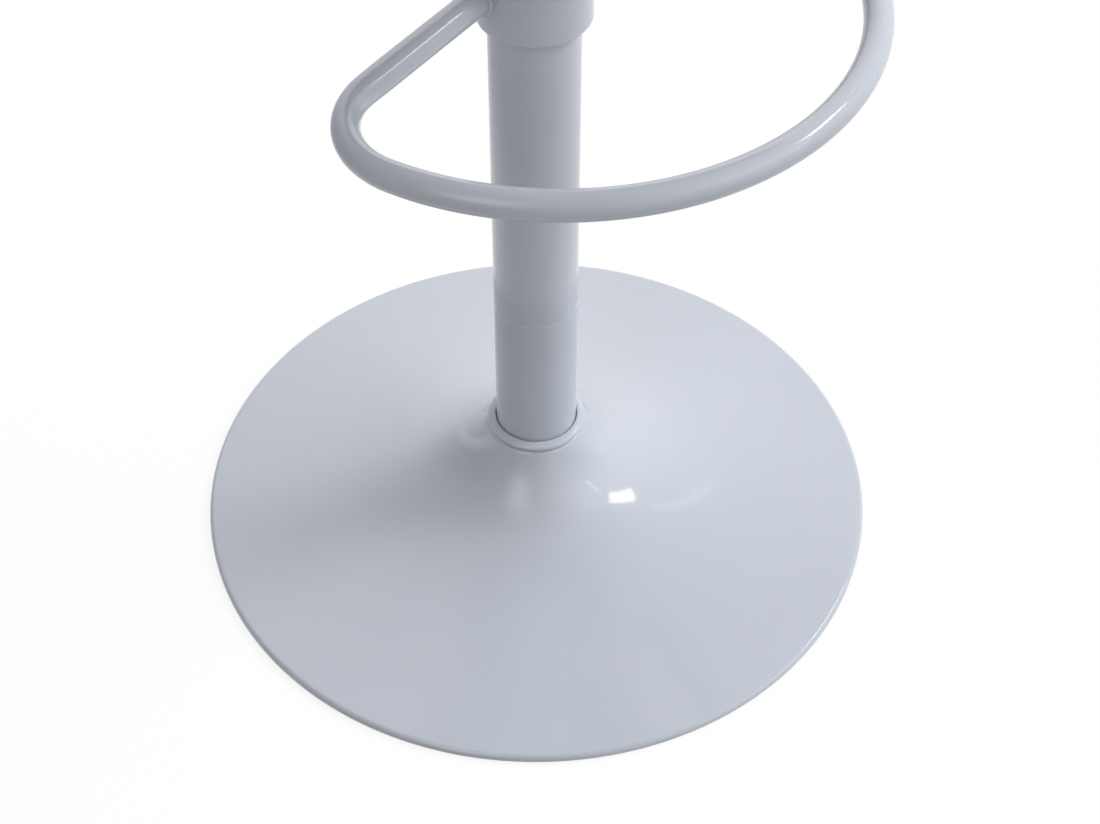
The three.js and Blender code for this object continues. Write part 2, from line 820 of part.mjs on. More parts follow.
// A round sheet or board with a hole at each bolt
function boltedDisc(radius, thickness, holeRadius) {
  const shape = circleShape(radius, rimSides);
  for (const [placeX, placeY] of boltPlaces) {
    shape.holes.push(circleHole(placeX, placeY, holeRadius, screwSides));
  }
  return new THREE.ExtrudeGeometry(shape, { depth: thickness, bevelEnabled: false });
}

const boardRadius = cushionRadius - cushionFootInset - boardInset;

function dustCover() {
  const hole = boltRadius + dustCoverHoleMargin;
  const disc = boltedDisc(boardRadius - dustCoverMargin, dustCoverThickness, hole);
  return part("dust_cover", disc, dustFabric(), 0, 0, dustCoverLevel);
}

const insertRadius = boltRadius + seatGap + insertWall;
const insertLength = boardThickness - insertCover;

function seatBoard() {
  const disc = boltedDisc(boardRadius, boardThickness, insertRadius + seatGap);
  return part("seat_board", disc, plywood(), 0, 0, boardLevel);
}

function threadedInserts() {
  const insert = sleeve(boltRadius + seatGap, insertRadius, insertLength, screwSides);
  return boltPlaces.map(([x, y], i) => {
    const name = `threaded_insert_${i + 1}`;
    return part(name, insert, zincSteel(), x, y, boardLevel);
  });
}

function seatBolts() {
  const length = boardLevel + insertLength - seatPlateLevel;
  const outline = [
    [0, -boltHeadHeight - seatGap],
    [boltHeadRadius - boltHeadRound, -boltHeadHeight - seatGap],
    [boltHeadRadius, boltHeadRound - boltHeadHeight - seatGap],
    [boltHeadRadius, -seatGap],
    [boltRadius, -seatGap],
    [boltRadius, length - boltEndChamfer],
    [boltRadius - boltEndChamfer, length],
    [0, length],
  ];
  const bolt = revolve(outline, screwSides);
  return boltPlaces.map(([x, y], i) => {
    const name = `seat_bolt_${i + 1}`;
    return part(name, bolt, zincSteel(), x, y, seatPlateLevel);
  });
}

// Round cushion: flat underneath, sides drawn in towards the board, a soft edge and a crowned top
function seatCushion() {
  const foot = cushionRadius - cushionFootInset;
  const outlineShares = [
    [0.0, 0.0, 1.0],
    [0.62, 0.08, 1.0],
    [0.95, 0.26, 1.0],
    [1.0, 0.4, 1.0],
    [0.9, 0.56, 1.0],
    [0.52, 0.7, 1.0],
    [0.0, 0.79, 0.99],
    [0.0, 0.85, 0.94],
    [0.0, 0.92, 0.82],
    [0.0, 0.965, 0.62],
    [0.0, 0.99, 0.36],
    [0.0, 1.0, 0.14],
  ];
  const outline = [
    [0, 0],
    ...outlineShares.map(([bulge, height, reach]) => [
      (foot + cushionFootInset * bulge) * reach,
      cushionHeight * height,
    ]),
    [0, cushionHeight],
  ];
  return part("seat_cushion", revolve(outline, rimSides), upholstery(), 0, 0, seatHeight - cushionHeight);
}

// A path through corner points, each corner rounded by a quadratic curve
function roundedPath(corners, round) {
  const path = new THREE.CurvePath();
  let from = corners[0];
  for (let i = 1; i < corners.length - 1; i++) {
    const corner = corners[i];
    const before = corners[i - 1].clone().sub(corner).setLength(round).add(corner);
    const after = corners[i + 1].clone().sub(corner).setLength(round).add(corner);
    path.add(new THREE.LineCurve3(from, before));
    path.add(new THREE.QuadraticBezierCurve3(before, corner, after));
    from = after;
  }
  path.add(new THREE.LineCurve3(from, corners[corners.length - 1]));
  return path;
}

// Release lever: a bent rod with an eye on the pin, drawn along +X from the pivot and turned to -X
const leverBendStart = channelLength / 2 + leverBendClearance;
const leverBendEnd = leverBendStart + leverBendRun;
const gripStart = leverBendEnd + leverStraight;
const gripLength = leverReach - gripStart;
const gripRadius = leverRodRadius + seatGap + gripWall;
const leverEyeRadius = leverPinRadius + seatGap + leverEyeWall;

function releaseLever() {
  const end = leverReach - gripWall - seatGap;
  const corners = [
    [-leverPivotDistance - leverInnerReach, 0],
    [leverBendStart - leverPivotDistance, 0],
    [leverBendEnd - leverPivotDistance, -leverDrop],
    [end - leverPivotDistance, -leverDrop],
  ];
  const path = roundedPath(
    corners.map(([along, up]) => new THREE.Vector3(along, 0, up)),
    leverBendRound
  );
  const section = circleShape(leverRodRadius, screwSides);
  const rod = new THREE.ExtrudeGeometry(section, { extrudePath: path, steps: 26 });
  const eye = bar(leverEyeRadius, leverEyeWidth, innerSides);
  eye.translate(0, 0, -leverEyeWidth / 2).rotateX(quarterTurn);
  const pinBore = bar(leverPinRadius + seatGap, leverEyeWidth + 2 * cutOverrun, screwSides);
  pinBore.translate(0, 0, -leverEyeWidth / 2 - cutOverrun).rotateX(quarterTurn);
  const lever = cut(join([rod, eye]), [pinBore]);
  return part("release_lever", lever, brightSteel());
}

function leverGrip() {
  const bore = leverRodRadius + seatGap;
  const outline = [
    [bore, 0],
    [gripRadius - gripEndRound / 2, 0],
    [gripRadius, gripEndRound],
    [gripRadius, gripLength - gripEndRound],
    [gripRadius - gripEndRound, gripLength],
    [0, gripLength],
    [0, gripLength - gripWall],
    [bore, gripLength - gripWall],
  ];
  const points = outline.map(([radius, along]) => new THREE.Vector2(radius, along));
  points.push(points[0].clone());
  const grip = new THREE.LatheGeometry(points, innerSides).rotateZ(-quarterTurn);
  return part("lever_grip", grip, blackPlastic(), gripStart - leverPivotDistance, 0, -leverDrop);
}

function leverPin() {
  const head = channelWidth / 2 + seatGap;
  const leverPinHeadRadius = leverPinRadius + leverPinHeadOverhang;
  const outline = [
    [0, -head - leverPinHeadHeight],
    [leverPinHeadRadius, -head - leverPinHeadHeight],
    [leverPinHeadRadius, -head],
    [leverPinRadius, -head],
    [leverPinRadius, head],
    [leverPinHeadRadius, head],
    [leverPinHeadRadius, head + leverPinHeadHeight],
    [0, head + leverPinHeadHeight],
  ];
  const pin = revolve(outline, screwSides).rotateX(quarterTurn);
  return part("lever_pin", pin, zincSteel(), -leverPivotDistance, 0, leverLevel);
}

function leverGroup() {
  const group = new THREE.Group();
  group.position.set(-leverPivotDistance, 0, leverLevel);
  group.rotation.z = Math.PI;
  group.add(releaseLever(), leverGrip());
  return group;
}

// Half of the footrest's centreline in its own plane: reach from the axis, then distance to the side.
// It is a wide front arc, a corner arc, and a straight arm that passes the column's axis at armOffset.
const collarRadius = columnRadius + seatGap + collarWall;

class FootrestCurve extends THREE.Curve {
  constructor() {
    super();
    const frontCentre = footrestReach - frontArcRadius;
    const centreGap = frontArcRadius - cornerRadius;
    this.frontCentre = frontCentre;
    this.cornerCentre = new THREE.Vector2(
      frontCentre + centreGap * Math.cos(frontArcHalfAngle),
      centreGap * Math.sin(frontArcHalfAngle)
    );
    const turn = Math.acos((armOffset - cornerRadius) / this.cornerCentre.length());
    this.armAngle = this.cornerCentre.angle() + turn;
    const corner = cornerRadius * (this.armAngle - frontArcHalfAngle);
    const normal = new THREE.Vector2(Math.cos(this.armAngle), Math.sin(this.armAngle));
    this.armStart = this.cornerCentre.clone().addScaledVector(normal, cornerRadius);
    this.armWay = new THREE.Vector2(-normal.y, normal.x);
    const toFoot = -this.armStart.dot(this.armWay);
    const weld = Math.sqrt((columnRadius + seatGap) ** 2 - armOffset ** 2);
    this.lengths = [frontArcRadius * frontArcHalfAngle, corner, toFoot - weld];
    this.halfLength = this.lengths[0] + this.lengths[1] + this.lengths[2];
  }

  // A point at a distance along the half loop, counted from the middle of the front
  half(distance) {
    const [front, corner] = this.lengths;
    if (distance < front) {
      const angle = distance / frontArcRadius;
      return [this.frontCentre + frontArcRadius * Math.cos(angle), frontArcRadius * Math.sin(angle)];
    }
    if (distance < front + corner) {
      const angle = frontArcHalfAngle + (distance - front) / cornerRadius;
      const { x, y } = this.cornerCentre;
      return [x + cornerRadius * Math.cos(angle), y + cornerRadius * Math.sin(angle)];
    }
    const along = distance - front - corner;
    return [this.armStart.x + this.armWay.x * along, this.armStart.y + this.armWay.y * along];
  }

  getPoint(share, target = new THREE.Vector3()) {
    const signed = (2 * share - 1) * this.halfLength;
    const [reach, side] = this.half(Math.abs(signed));
    return target.set(Math.sign(signed) * side, -reach, 0);
  }
}

function footrestLoop() {
  const section = circleShape(footrestTubeRadius, 2 * boreSides);
  section.holes.push(circleHole(0, 0, footrestTubeRadius - footrestTubeWall, boreSides));
  const tube = new THREE.ExtrudeGeometry(section, { extrudePath: new FootrestCurve(), steps: 48 });
  const cope = bar(collarRadius + seatGap, collarHeight, tubeSides).translate(0, 0, -collarHeight / 2);
  return part("footrest_loop", cut(tube, [cope]), lacquer(), 0, 0, footrestHeight);
}

// Collar that grips the column, with two grub screws at the back
const collarScrewRise = collarHeight / 2 - collarScrewInset;
const collarScrewLevels = [-collarScrewRise, collarScrewRise];

function footrestCollar() {
  const inner = columnRadius + seatGap;
  const half = collarHeight / 2;
  const outline = [
    [inner, -half],
    [collarRadius - collarRound, -half],
    [collarRadius, collarRound - half],
    [collarRadius, half - collarRound],
    [collarRadius - collarRound, half],
    [inner, half],
  ];
  const drills = collarScrewLevels.map((level) => {
    const drill = bar(collarScrewRadius + seatGap, collarRadius + cutOverrun, screwSides);
    return drill.rotateX(-quarterTurn).translate(0, 0, level);
  });
  const collar = cut(revolve(outline, tubeSides), drills);
  return part("footrest_collar", collar, lacquer(), 0, 0, footrestHeight);
}

function collarScrews() {
  const start = columnRadius + seatGap;
  const length = collarRadius + collarScrewProud - start;
  const socket = bar(collarScrewSocketRadius, collarScrewSocketDepth + cutOverrun, hexagonSides);
  socket.translate(0, 0, length - collarScrewSocketDepth);
  const screw = cut(bar(collarScrewRadius, length, screwSides), [socket]).rotateX(-quarterTurn);
  return collarScrewLevels.map((level, i) =>
    part(`collar_screw_${i + 1}`, screw, blackSteel(), 0, start, footrestHeight + level)
  );
}

const base = new THREE.Group();
base.add(
  trumpetBase(),
  floorRing(),
  basePlate(),
  baseBallast(),
  hubSocket(),
  neckCoverRing(),
  columnTube(),
  guideBush(),
  columnFootPlate(),
  bearingLowerRace()
);

const footrest = new THREE.Group();
footrest.add(footrestLoop(), footrestCollar(), ...collarScrews());

const turningRod = new THREE.Group();
turningRod.add(
  pistonRod(),
  pistonHead(),
  pistonNut(),
  rodClip(),
  rodWasher(),
  bearingUpperRace(),
  bumpStop()
);

const lift = new THREE.Group();
lift.add(pressureTube(), rodGland(), innerCylinder(), valveBody());

const seat = new THREE.Group();
seat.add(
  seatSocket(),
  seatChannel(),
  seatPlate(),
  dustCover(),
  seatBoard(),
  ...threadedInserts(),
  ...seatBolts(),
  seatCushion(),
  leverPin()
);

const stool = new THREE.Group();
stool.add(base, footrest, bearingBallCage(), turningRod, lift, releaseButton(), seat, leverGroup());

export default stool;
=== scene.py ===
import json
import math
import random

import bmesh
import bpy
from mathutils import Matrix, Vector
from mathutils.bvhtree import BVHTree


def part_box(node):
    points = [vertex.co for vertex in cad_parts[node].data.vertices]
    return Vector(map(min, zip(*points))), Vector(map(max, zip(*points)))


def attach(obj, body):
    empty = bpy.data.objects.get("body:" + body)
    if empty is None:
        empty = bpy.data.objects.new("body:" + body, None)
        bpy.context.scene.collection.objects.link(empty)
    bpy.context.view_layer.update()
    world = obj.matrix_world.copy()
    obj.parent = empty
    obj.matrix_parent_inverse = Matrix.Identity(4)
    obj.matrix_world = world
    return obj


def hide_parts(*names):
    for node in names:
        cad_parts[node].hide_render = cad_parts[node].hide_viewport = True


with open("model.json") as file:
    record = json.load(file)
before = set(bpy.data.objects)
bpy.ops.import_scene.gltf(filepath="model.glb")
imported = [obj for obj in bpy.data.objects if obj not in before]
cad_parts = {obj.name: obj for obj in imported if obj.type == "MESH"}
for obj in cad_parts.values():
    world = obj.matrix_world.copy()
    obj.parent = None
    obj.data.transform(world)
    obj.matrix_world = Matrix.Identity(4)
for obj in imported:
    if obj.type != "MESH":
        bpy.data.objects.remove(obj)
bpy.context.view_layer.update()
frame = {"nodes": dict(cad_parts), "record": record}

MM = 0.001
TURN = 2 * math.pi
UP = Vector((0, 0, 1))
ACROSS = Vector((0, 1, 0))


def add_object(name, data):
    thing = bpy.data.objects.new(name, data)
    bpy.context.scene.collection.objects.link(thing)
    return thing


# camera fitted to the photo: lens in millimetres, place in metres and angles in degrees
LENS = 65.257
CAMERA_PLACE = (-0.54145, -0.62714, 0.9543)
CAMERA_TURN, CAMERA_TILT, CAMERA_ROLL = -41.379, 46.846, 0.15


def turned(degrees, axis):
    return Matrix.Rotation(math.radians(degrees), 4, axis)


def make_camera():
    data = bpy.data.cameras.new("camera")
    data.lens = LENS
    camera = add_object("camera", data)
    way = turned(CAMERA_TURN, "Z") @ turned(90 - CAMERA_TILT, "X") @ turned(CAMERA_ROLL, "Z")
    camera.matrix_world = Matrix.Translation(CAMERA_PLACE) @ way
    bpy.context.scene.camera = camera


make_camera()
bpy.context.scene.view_settings.view_transform = "Standard"


# node helpers
class Nodes:
    """The node tree of a material or world, with short ways to add and join nodes."""

    def __init__(self, owner):
        owner.use_nodes = True
        self.tree = owner.node_tree
        self.tree.nodes.clear()

    def add(self, kind, **inputs):
        """A new node. A key with _ in front is one of its settings, any other one of its inputs."""
        node = self.tree.nodes.new("ShaderNode" + kind)
        for key, value in inputs.items():
            if key.startswith("_"):
                setattr(node, key[1:], value)
            else:
                self.put(node.inputs[key.replace("_", " ")], value)
        return node

    def put(self, socket, value):
        if isinstance(value, bpy.types.NodeSocket):
            self.tree.links.new(value, socket)
        else:
            socket.default_value = value

    def math(self, operation, a, b=None):
        node = self.add("Math", _operation=operation)
        self.put(node.inputs[0], a)
        if b is not None:
            self.put(node.inputs[1], b)
        return node.outputs[0]

    def plus(self, a, b):
        return self.math("ADD", a, b)

    def minus(self, a, b):
        return self.math("SUBTRACT", a, b)

    def times(self, a, b):
        return self.math("MULTIPLY", a, b)

    def noise(self, vector, scale, detail=4.0, roughness=0.6):
        node = self.add("TexNoise", Scale=scale, Detail=detail, Roughness=roughness, Vector=vector)
        return node.outputs["Fac"]

    def span(self, value, from_low, from_high, to_low=0.0, to_high=1.0):
        node = self.add("MapRange")
        for socket, number in zip(list(node.inputs)[:5], (value, from_low, from_high, to_low, to_high)):
            self.put(socket, number)
        return node.outputs[0]

    def spread(self, noise, to_low=0.0, to_high=1.0):
        """Spreads the usual range of a noise over another range."""
        return self.span(noise, 0.3, 0.7, to_low, to_high)

    def mix(self, factor, a, b):
        node = self.add("Mix", _data_type="RGBA")
        for socket, value in zip((node.inputs[0], node.inputs[6], node.inputs[7]), (factor, a, b)):
            self.put(socket, value)
        return node.outputs[2]

    def mix_shaders(self, factor, a, b):
        node = self.add("MixShader")
        for socket, value in zip(node.inputs, (factor, a.outputs[0], b.outputs[0])):
            self.put(socket, value)
        return node

    def bump(self, height, distance, strength=1.0, normal=None):
        node = self.add("Bump", Strength=strength, Distance=distance, Height=height)
        if normal is not None:
            self.put(node.inputs["Normal"], normal)
        return node.outputs[0]

    def coords(self):
        return self.add("TexCoord").outputs["Object"]

    def split(self, vector):
        return self.add("SeparateXYZ", Vector=vector).outputs

    def geometry(self, name):
        return self.add("NewGeometry").outputs[name]

    def stretched(self, vector, scale):
        node = self.add("Mapping", Vector=vector)
        node.inputs["Scale"].default_value = scale
        return node.outputs[0]


BY_SLOT = {}


class Finish(Nodes):
    """The nodes of a slot's material, which has one surface shader."""

    def __init__(self, slot):
        BY_SLOT[slot] = bpy.data.materials.new(slot)
        super().__init__(BY_SLOT[slot])
        self.shader = self.add("BsdfPrincipled")
        self.put(self.add("OutputMaterial").inputs[0], self.shader.outputs[0])

    def dress(self, base, roughness, normal, **settings):
        """Fills the shader's inputs in. A setting's key has _ for a space."""
        for name, value in {"Base Color": base, "Roughness": roughness, "Normal": normal, **settings}.items():
            self.put(self.shader.inputs[name.replace("_", " ")], value)


def colour(red, green, blue):
    return (red, green, blue, 1.0)


def shade(rgb, factor):
    return colour(*(min(1.0, channel * factor) for channel in rgb[:3]))


# materials: noise scales are in waves per metre, bump distances in metres
def make_lacquer():
    """Gloss paint with faint clouds and specks in its tone, slow waves and a fine orange peel."""
    n = Finish("grey_lacquer")
    at = n.coords()
    tone = colour(0.545, 0.576, 0.634)
    cloud = n.noise(at, 9.0, detail=3.0, roughness=0.55)
    speck = n.noise(at, 900.0, detail=2.0)
    clouded = n.mix(n.spread(cloud), shade(tone, 0.985), shade(tone, 1.015))
    specked = n.mix(n.span(speck, 0.66, 0.8, 0.0, 0.06), clouded, shade(tone, 0.8))
    roughness = n.spread(n.noise(at, 26.0), 0.07, 0.10)
    peel = n.noise(at, 520.0, detail=2.0, roughness=0.5)
    wave = n.noise(at, 24.0, detail=1.0, roughness=0.4)
    waved = n.bump(wave, distance=0.0001)
    n.dress(specked, roughness, n.bump(peel, distance=0.000012, normal=waved), IOR=1.5)


def make_plastic(name, tone, roughness, grain=1400.0):
    """Dark moulded or powder-coated surface: soft patches and a fine grain."""
    n = Finish(name)
    at = n.coords()
    base = colour(*tone)
    patch = n.noise(at, 60.0)
    patched = n.mix(n.spread(patch), shade(base, 0.85), shade(base, 1.25))
    uneven = n.spread(patch, roughness - 0.05, roughness + 0.07)
    fine = n.noise(at, grain, detail=3.0)
    n.dress(patched, uneven, n.bump(fine, distance=0.00005, strength=0.6))


def make_metal(name, tone, roughness, scale, painted_weave_shade, spread, stretch=1):
    """Metal with fine marks, which run round the Z axis where stretch is more than 1."""
    n = Finish(name)
    at = n.coords()
    base = colour(*tone)
    marks = n.noise(n.stretched(at, (1, 1, stretch)), scale)
    haze = n.noise(at, 35.0)
    hazed = n.mix(n.spread(haze), shade(base, 0.92), shade(base, 1.05))
    marked = n.span(marks, 0.25, 0.75, -spread / 2, spread / 2)
    uneven = n.plus(marked, n.spread(haze, roughness - 0.03, roughness + 0.05))
    n.dress(hazed, uneven, n.bump(marks, painted_weave_shade, strength=0.7), Metallic=1.0)


def make_cast_iron():
    """Rough casting with a little rust."""
    n = Finish("cast_iron")
    at = n.coords()
    rough = n.noise(at, 700.0, detail=5.0, roughness=0.65)
    patch = n.noise(at, 20.0)
    dark = n.mix(n.span(patch, 0.35, 0.7), colour(0.035, 0.036, 0.038), colour(0.085, 0.08, 0.076))
    rusty = n.span(n.noise(at, 46.0, detail=5.0, roughness=0.7), 0.62, 0.75, 0.0, 0.35)
    rusted = n.mix(rusty, dark, colour(0.16, 0.07, 0.035))
    bumps = n.bump(rough, distance=0.0005, strength=0.6)
    n.dress(rusted, n.spread(rough, 0.62, 0.85), bumps, Metallic=0.4)


def make_rubber():
    """Matt rubber with a film of dust."""
    n = Finish("black_rubber")
    at = n.coords()
    grain = n.noise(at, 1500.0, detail=3.0)
    dust = n.noise(at, 50.0, detail=5.0, roughness=0.65)
    clean, dusty = colour(0.012, 0.012, 0.012), colour(0.045, 0.044, 0.043)
    base = n.mix(n.span(dust, 0.5, 0.75, 0.0, 0.5), clean, dusty)
    n.dress(base, n.spread(grain, 0.68, 0.86), n.bump(grain, distance=0.00008, strength=0.6))


def make_plywood():
    """Birch ply: flat grain on the faces and thin crossed layers on the edge."""
    n = Finish("plywood")
    at = n.coords()
    board_foot, layer_height = 0.5757, 0.0015
    level = n.math("DIVIDE", n.minus(n.split(at)[2], board_foot), layer_height)
    layer = n.math("MODULO", n.math("FLOOR", level), 2.0)
    ring = n.noise(n.stretched(at, (6.0, 60.0, 60.0)), 6.0, detail=5.0, roughness=0.65)
    fibre = n.noise(n.stretched(at, (25.0, 500.0, 500.0)), 4.0, detail=3.0)
    end_grain = n.noise(at, 1300.0, detail=2.0)
    face = n.mix(n.span(ring, 0.35, 0.65), colour(0.52, 0.36, 0.20), colour(0.66, 0.49, 0.30))
    face = n.mix(n.span(fibre, 0.4, 0.7, 0.0, 0.35), face, colour(0.36, 0.22, 0.11))
    along = n.mix(n.span(fibre, 0.35, 0.65), colour(0.60, 0.43, 0.25), colour(0.68, 0.52, 0.33))
    across = n.mix(n.span(end_grain, 0.35, 0.65), colour(0.30, 0.18, 0.09), colour(0.44, 0.29, 0.16))
    edge = n.mix(layer, along, across)
    flat = n.span(n.math("ABSOLUTE", n.split(n.geometry("Normal"))[2]), 0.5, 0.8)
    base = n.mix(flat, edge, face)
    n.dress(base, n.spread(fibre, 0.55, 0.75), n.bump(fibre, distance=0.00015, strength=0.5))


def make_dust_cloth():
    """Thin bonded cloth: short fibres pressed with a small diamond pattern."""
    n = Finish("dust_cloth")
    at = n.coords()
    waves = 2400.0
    fibres = n.noise(n.stretched(at, (1.0, 1.4, 1.0)), 1100.0, roughness=0.7)
    x, y = n.split(at)[:2]
    one = n.math("SINE", n.times(n.plus(x, y), waves))
    two = n.math("SINE", n.times(n.minus(x, y), waves))
    dots = n.span(n.times(one, two), 0.4, 0.9)
    base = n.mix(n.span(fibres, 0.35, 0.7), colour(0.010, 0.010, 0.011), colour(0.030, 0.030, 0.032))
    pressed = n.mix(dots, base, colour(0.007, 0.007, 0.008))
    roughness = n.span(dots, 0.0, 1.0, 0.9, 0.7)
    height = n.minus(fibres, n.times(dots, 0.8))
    bumps = n.bump(height, distance=0.00025, strength=0.8)
    n.dress(pressed, roughness, bumps, Sheen_Weight=0.15)


def weave_height(n, across, along):
    """Height of threads that pass over and under each other, and where the warp is on top."""
    def thread(side, length, phase):
        ridge = n.math("ABSOLUTE", n.math("SINE", n.times(side, math.pi)))
        step = n.times(n.math("FLOOR", side), math.pi)
        swing = n.math("COSINE", n.plus(n.times(length, math.pi), n.plus(step, phase)))
        return n.times(ridge, n.plus(n.times(swing, 0.4), 0.6))

    warp = thread(across, along, 0.0)
    weft = thread(along, across, math.pi)
    return n.math("MAXIMUM", warp, weft), n.math("GREATER_THAN", warp, weft)


def make_upholstery():
    """Light grey cloth of threads in slightly different tones, flat on the top and laid round the side, with
    painted shade where the weave lies low between the threads.
    """
    n = Finish("upholstery")
    at = n.coords()
    x, y, z = n.split(at)
    pitch, side_radius = 0.0011, 0.185
    angle = n.math("ARCTAN2", y, x)
    top = n.span(n.math("ABSOLUTE", n.split(n.geometry("Normal"))[2]), 0.62, 0.70)
    flat_height, flat_over = weave_height(n, n.math("DIVIDE", x, pitch), n.math("DIVIDE", y, pitch))
    threads = round(TURN * side_radius / pitch / 2) * 2
    round_side = n.times(angle, threads / TURN)
    side_height, side_over = weave_height(n, round_side, n.math("DIVIDE", z, pitch))

    def share(a, b, part):
        return n.plus(n.times(a, part), n.times(b, n.minus(1.0, part)))

    height = share(flat_height, side_height, top)
    over = share(flat_over, side_over, top)
    along_x = n.noise(n.stretched(at, (90.0, 1500.0, 1500.0)), 1.0, detail=3.0)
    along_y = n.noise(n.stretched(at, (1500.0, 90.0, 90.0)), 1.0, detail=3.0)
    thread_tone = share(along_x, along_y, over)
    tones = colour(0.47, 0.485, 0.515), colour(0.63, 0.65, 0.68)
    cloth = n.mix(n.span(thread_tone, 0.34, 0.66), *tones)
    worn = n.noise(at, 7.0)
    cloth = n.mix(n.span(worn, 0.35, 0.7, 0.0, 0.18), cloth, colour(0.64, 0.655, 0.68))
    # painted shade: the cloth is mixed towards a dark grey where the threads lie low, standing in for shade
    # between them
    painted_weave_shade = n.span(height, 0.15, 0.7, 0.55, 0.0)
    base = n.mix(painted_weave_shade, cloth, colour(0.27, 0.28, 0.30))
    roughness = n.spread(worn, 0.82, 0.92)
    fuzz = n.noise(at, 2600.0, detail=2.0, roughness=0.7)
    fuzzy = n.plus(height, n.times(fuzz, 0.35))
    bumps = n.bump(fuzzy, distance=0.00028, strength=0.9)
    n.dress(base, roughness, bumps, Sheen_Weight=0.25, Sheen_Roughness=0.5)


make_lacquer()
make_plastic("black_plastic", (0.017, 0.017, 0.018), roughness=0.42)
make_rubber()
make_cast_iron()
make_metal("zinc_steel", (0.56, 0.58, 0.60), 0.34, scale=160.0, painted_weave_shade=0.00003, spread=0.12)
make_metal("bright_steel", (0.74, 0.75, 0.76), 0.10, scale=90.0, painted_weave_shade=0.000004, spread=0.05, stretch=14)
make_metal("bearing_steel", (0.52, 0.53, 0.54), 0.22, scale=120.0, painted_weave_shade=0.000006, spread=0.06, stretch=12)
make_plastic("black_steel", (0.018, 0.018, 0.019), roughness=0.36, grain=2200.0)
make_metal("brass", (0.66, 0.47, 0.19), 0.25, scale=120.0, painted_weave_shade=0.000008, spread=0.08, stretch=12)
make_plywood()
make_dust_cloth()
make_upholstery()
SLOT_OF = {part["node"]: part["material_slot"] for part in frame["record"]["subparts"]}


# mesh helpers
ON_AXIS = 1e-6


def arc(centre_x, centre_y, radius_x, radius_y, start, end, steps):
    points = []
    for i in range(steps + 1):
        angle = math.radians(start + (end - start) * i / steps)
        points.append((centre_x + radius_x * math.cos(angle), centre_y + radius_y * math.sin(angle)))
    return points


def rounded(corners, steps=5, closed=True):
    """A polygon or line of (x, y, round) corners, with each corner turned into an arc of its radius."""
    points = []
    count = len(corners)
    most = 0.499
    for i, (x, y, radius) in enumerate(corners):
        here = Vector((x, y))
        if not radius or (not closed and i in (0, count - 1)):
            points.append((x, y))
            continue
        before = Vector(corners[i - 1][:2]) - here
        after = Vector(corners[(i + 1) % count][:2]) - here
        half = before.angle(after) / 2
        reach = min(radius / math.tan(half), before.length * most, after.length * most)
        radius = reach * math.tan(half)
        centre = here + (before.normalized() + after.normalized()).normalized() * radius / math.sin(half)
        start = here + before.normalized() * reach - centre
        end = here + after.normalized() * reach - centre
        for j in range(steps + 1):
            share = j / steps
            way = start.lerp(end, share).normalized() * radius
            if share in (0, 1):
                way = start if share == 0 else end
            points.append(tuple(centre + way))
    return points


def lathe(outline, segments=160, closed=True):
    """Vertices and faces of an outline of (radius, height) points in millimetres, turned round the Z axis."""
    verts, faces, rings = [], [], []
    for radius, height in outline:
        if radius < ON_AXIS:
            rings.append([len(verts)] * segments)
            verts.append((0.0, 0.0, height * MM))
            continue
        rings.append(list(range(len(verts), len(verts) + segments)))
        for j in range(segments):
            angle = TURN * j / segments
            verts.append((radius * MM * math.cos(angle), radius * MM * math.sin(angle), height * MM))
    pairs = list(zip(rings, rings[1:]))
    if closed:
        pairs.append((rings[-1], rings[0]))
    for low, high in pairs:
        for corners in between(low, high):
            corners = list(dict.fromkeys(corners))
            if len(corners) > 2:
                faces.append(corners)
    return verts, faces


def between(low, high):
    """Four-sided faces that join two rings of vertices."""
    count = len(low)
    return [[low[j], low[(j + 1) % count], high[(j + 1) % count], high[j]] for j in range(count)]


def ring_round(centre, radius, first, second, sides, width=1.0):
    """Points round a centre in the plane of two unit vectors. width is a share of the first's length."""
    points = []
    for j in range(sides):
        turn = TURN * j / sides
        points.append(tuple(centre + radius * (width * math.cos(turn) * first + math.sin(turn) * second)))
    return points


def joined(rings):
    """Vertices of rings of points, and the rings as lists of vertex numbers."""
    verts, numbers = [], []
    for ring in rings:
        numbers.append(range(len(verts), len(verts) + len(ring)))
        verts.extend(ring)
    return verts, numbers


def cord(points, outs, radii, sides, proud=0.0):
    """A tube that runs back into itself. outs are directions out of it, and it lies proud along them."""
    rings = []
    count = len(points)
    for i, (point, out) in enumerate(zip(points, outs)):
        tangent = (points[(i + 1) % count] - points[i - 1]).normalized()
        first = tangent.cross(out).normalized()
        second = first.cross(tangent).normalized()
        rings.append(ring_round(point + out * proud, radii[i], first, second, sides))
    verts, numbers = joined(rings)
    faces = []
    for low, high in zip(numbers, numbers[1:] + numbers[:1]):
        faces += between(low, high)
    return verts, faces


def bead_radii(count, size, ripple, ripples, jitter):
    """Radii round a weld bead in metres, from millimetres, with ripples and a little chance in them."""
    waves = [ripple * math.sin(TURN * ripples * i / count) for i in range(count)]
    return [(size + wave + random.uniform(-jitter, jitter)) * MM for wave in waves]


def tube(points, radius, sides, up, widths=None):
    """A tube along points in metres, closed at its ends. up is a direction square to the path, and widths are
    shares of the tube's height, where it isn't round."""
    rings = []
    count = len(points)
    for i, point in enumerate(points):
        way = (points[min(i + 1, count - 1)] - points[max(i - 1, 0)]).normalized()
        side = way.cross(up).normalized()
        lift = side.cross(way).normalized()
        rings.append(ring_round(point, radius, side, lift, sides, widths[i] if widths else 1.0))
    verts, numbers = joined(rings)
    faces = []
    for low, high in zip(numbers, numbers[1:]):
        faces += between(low, high)
    faces.append(list(reversed(numbers[0])))
    faces.append(list(numbers[-1]))
    return verts, faces


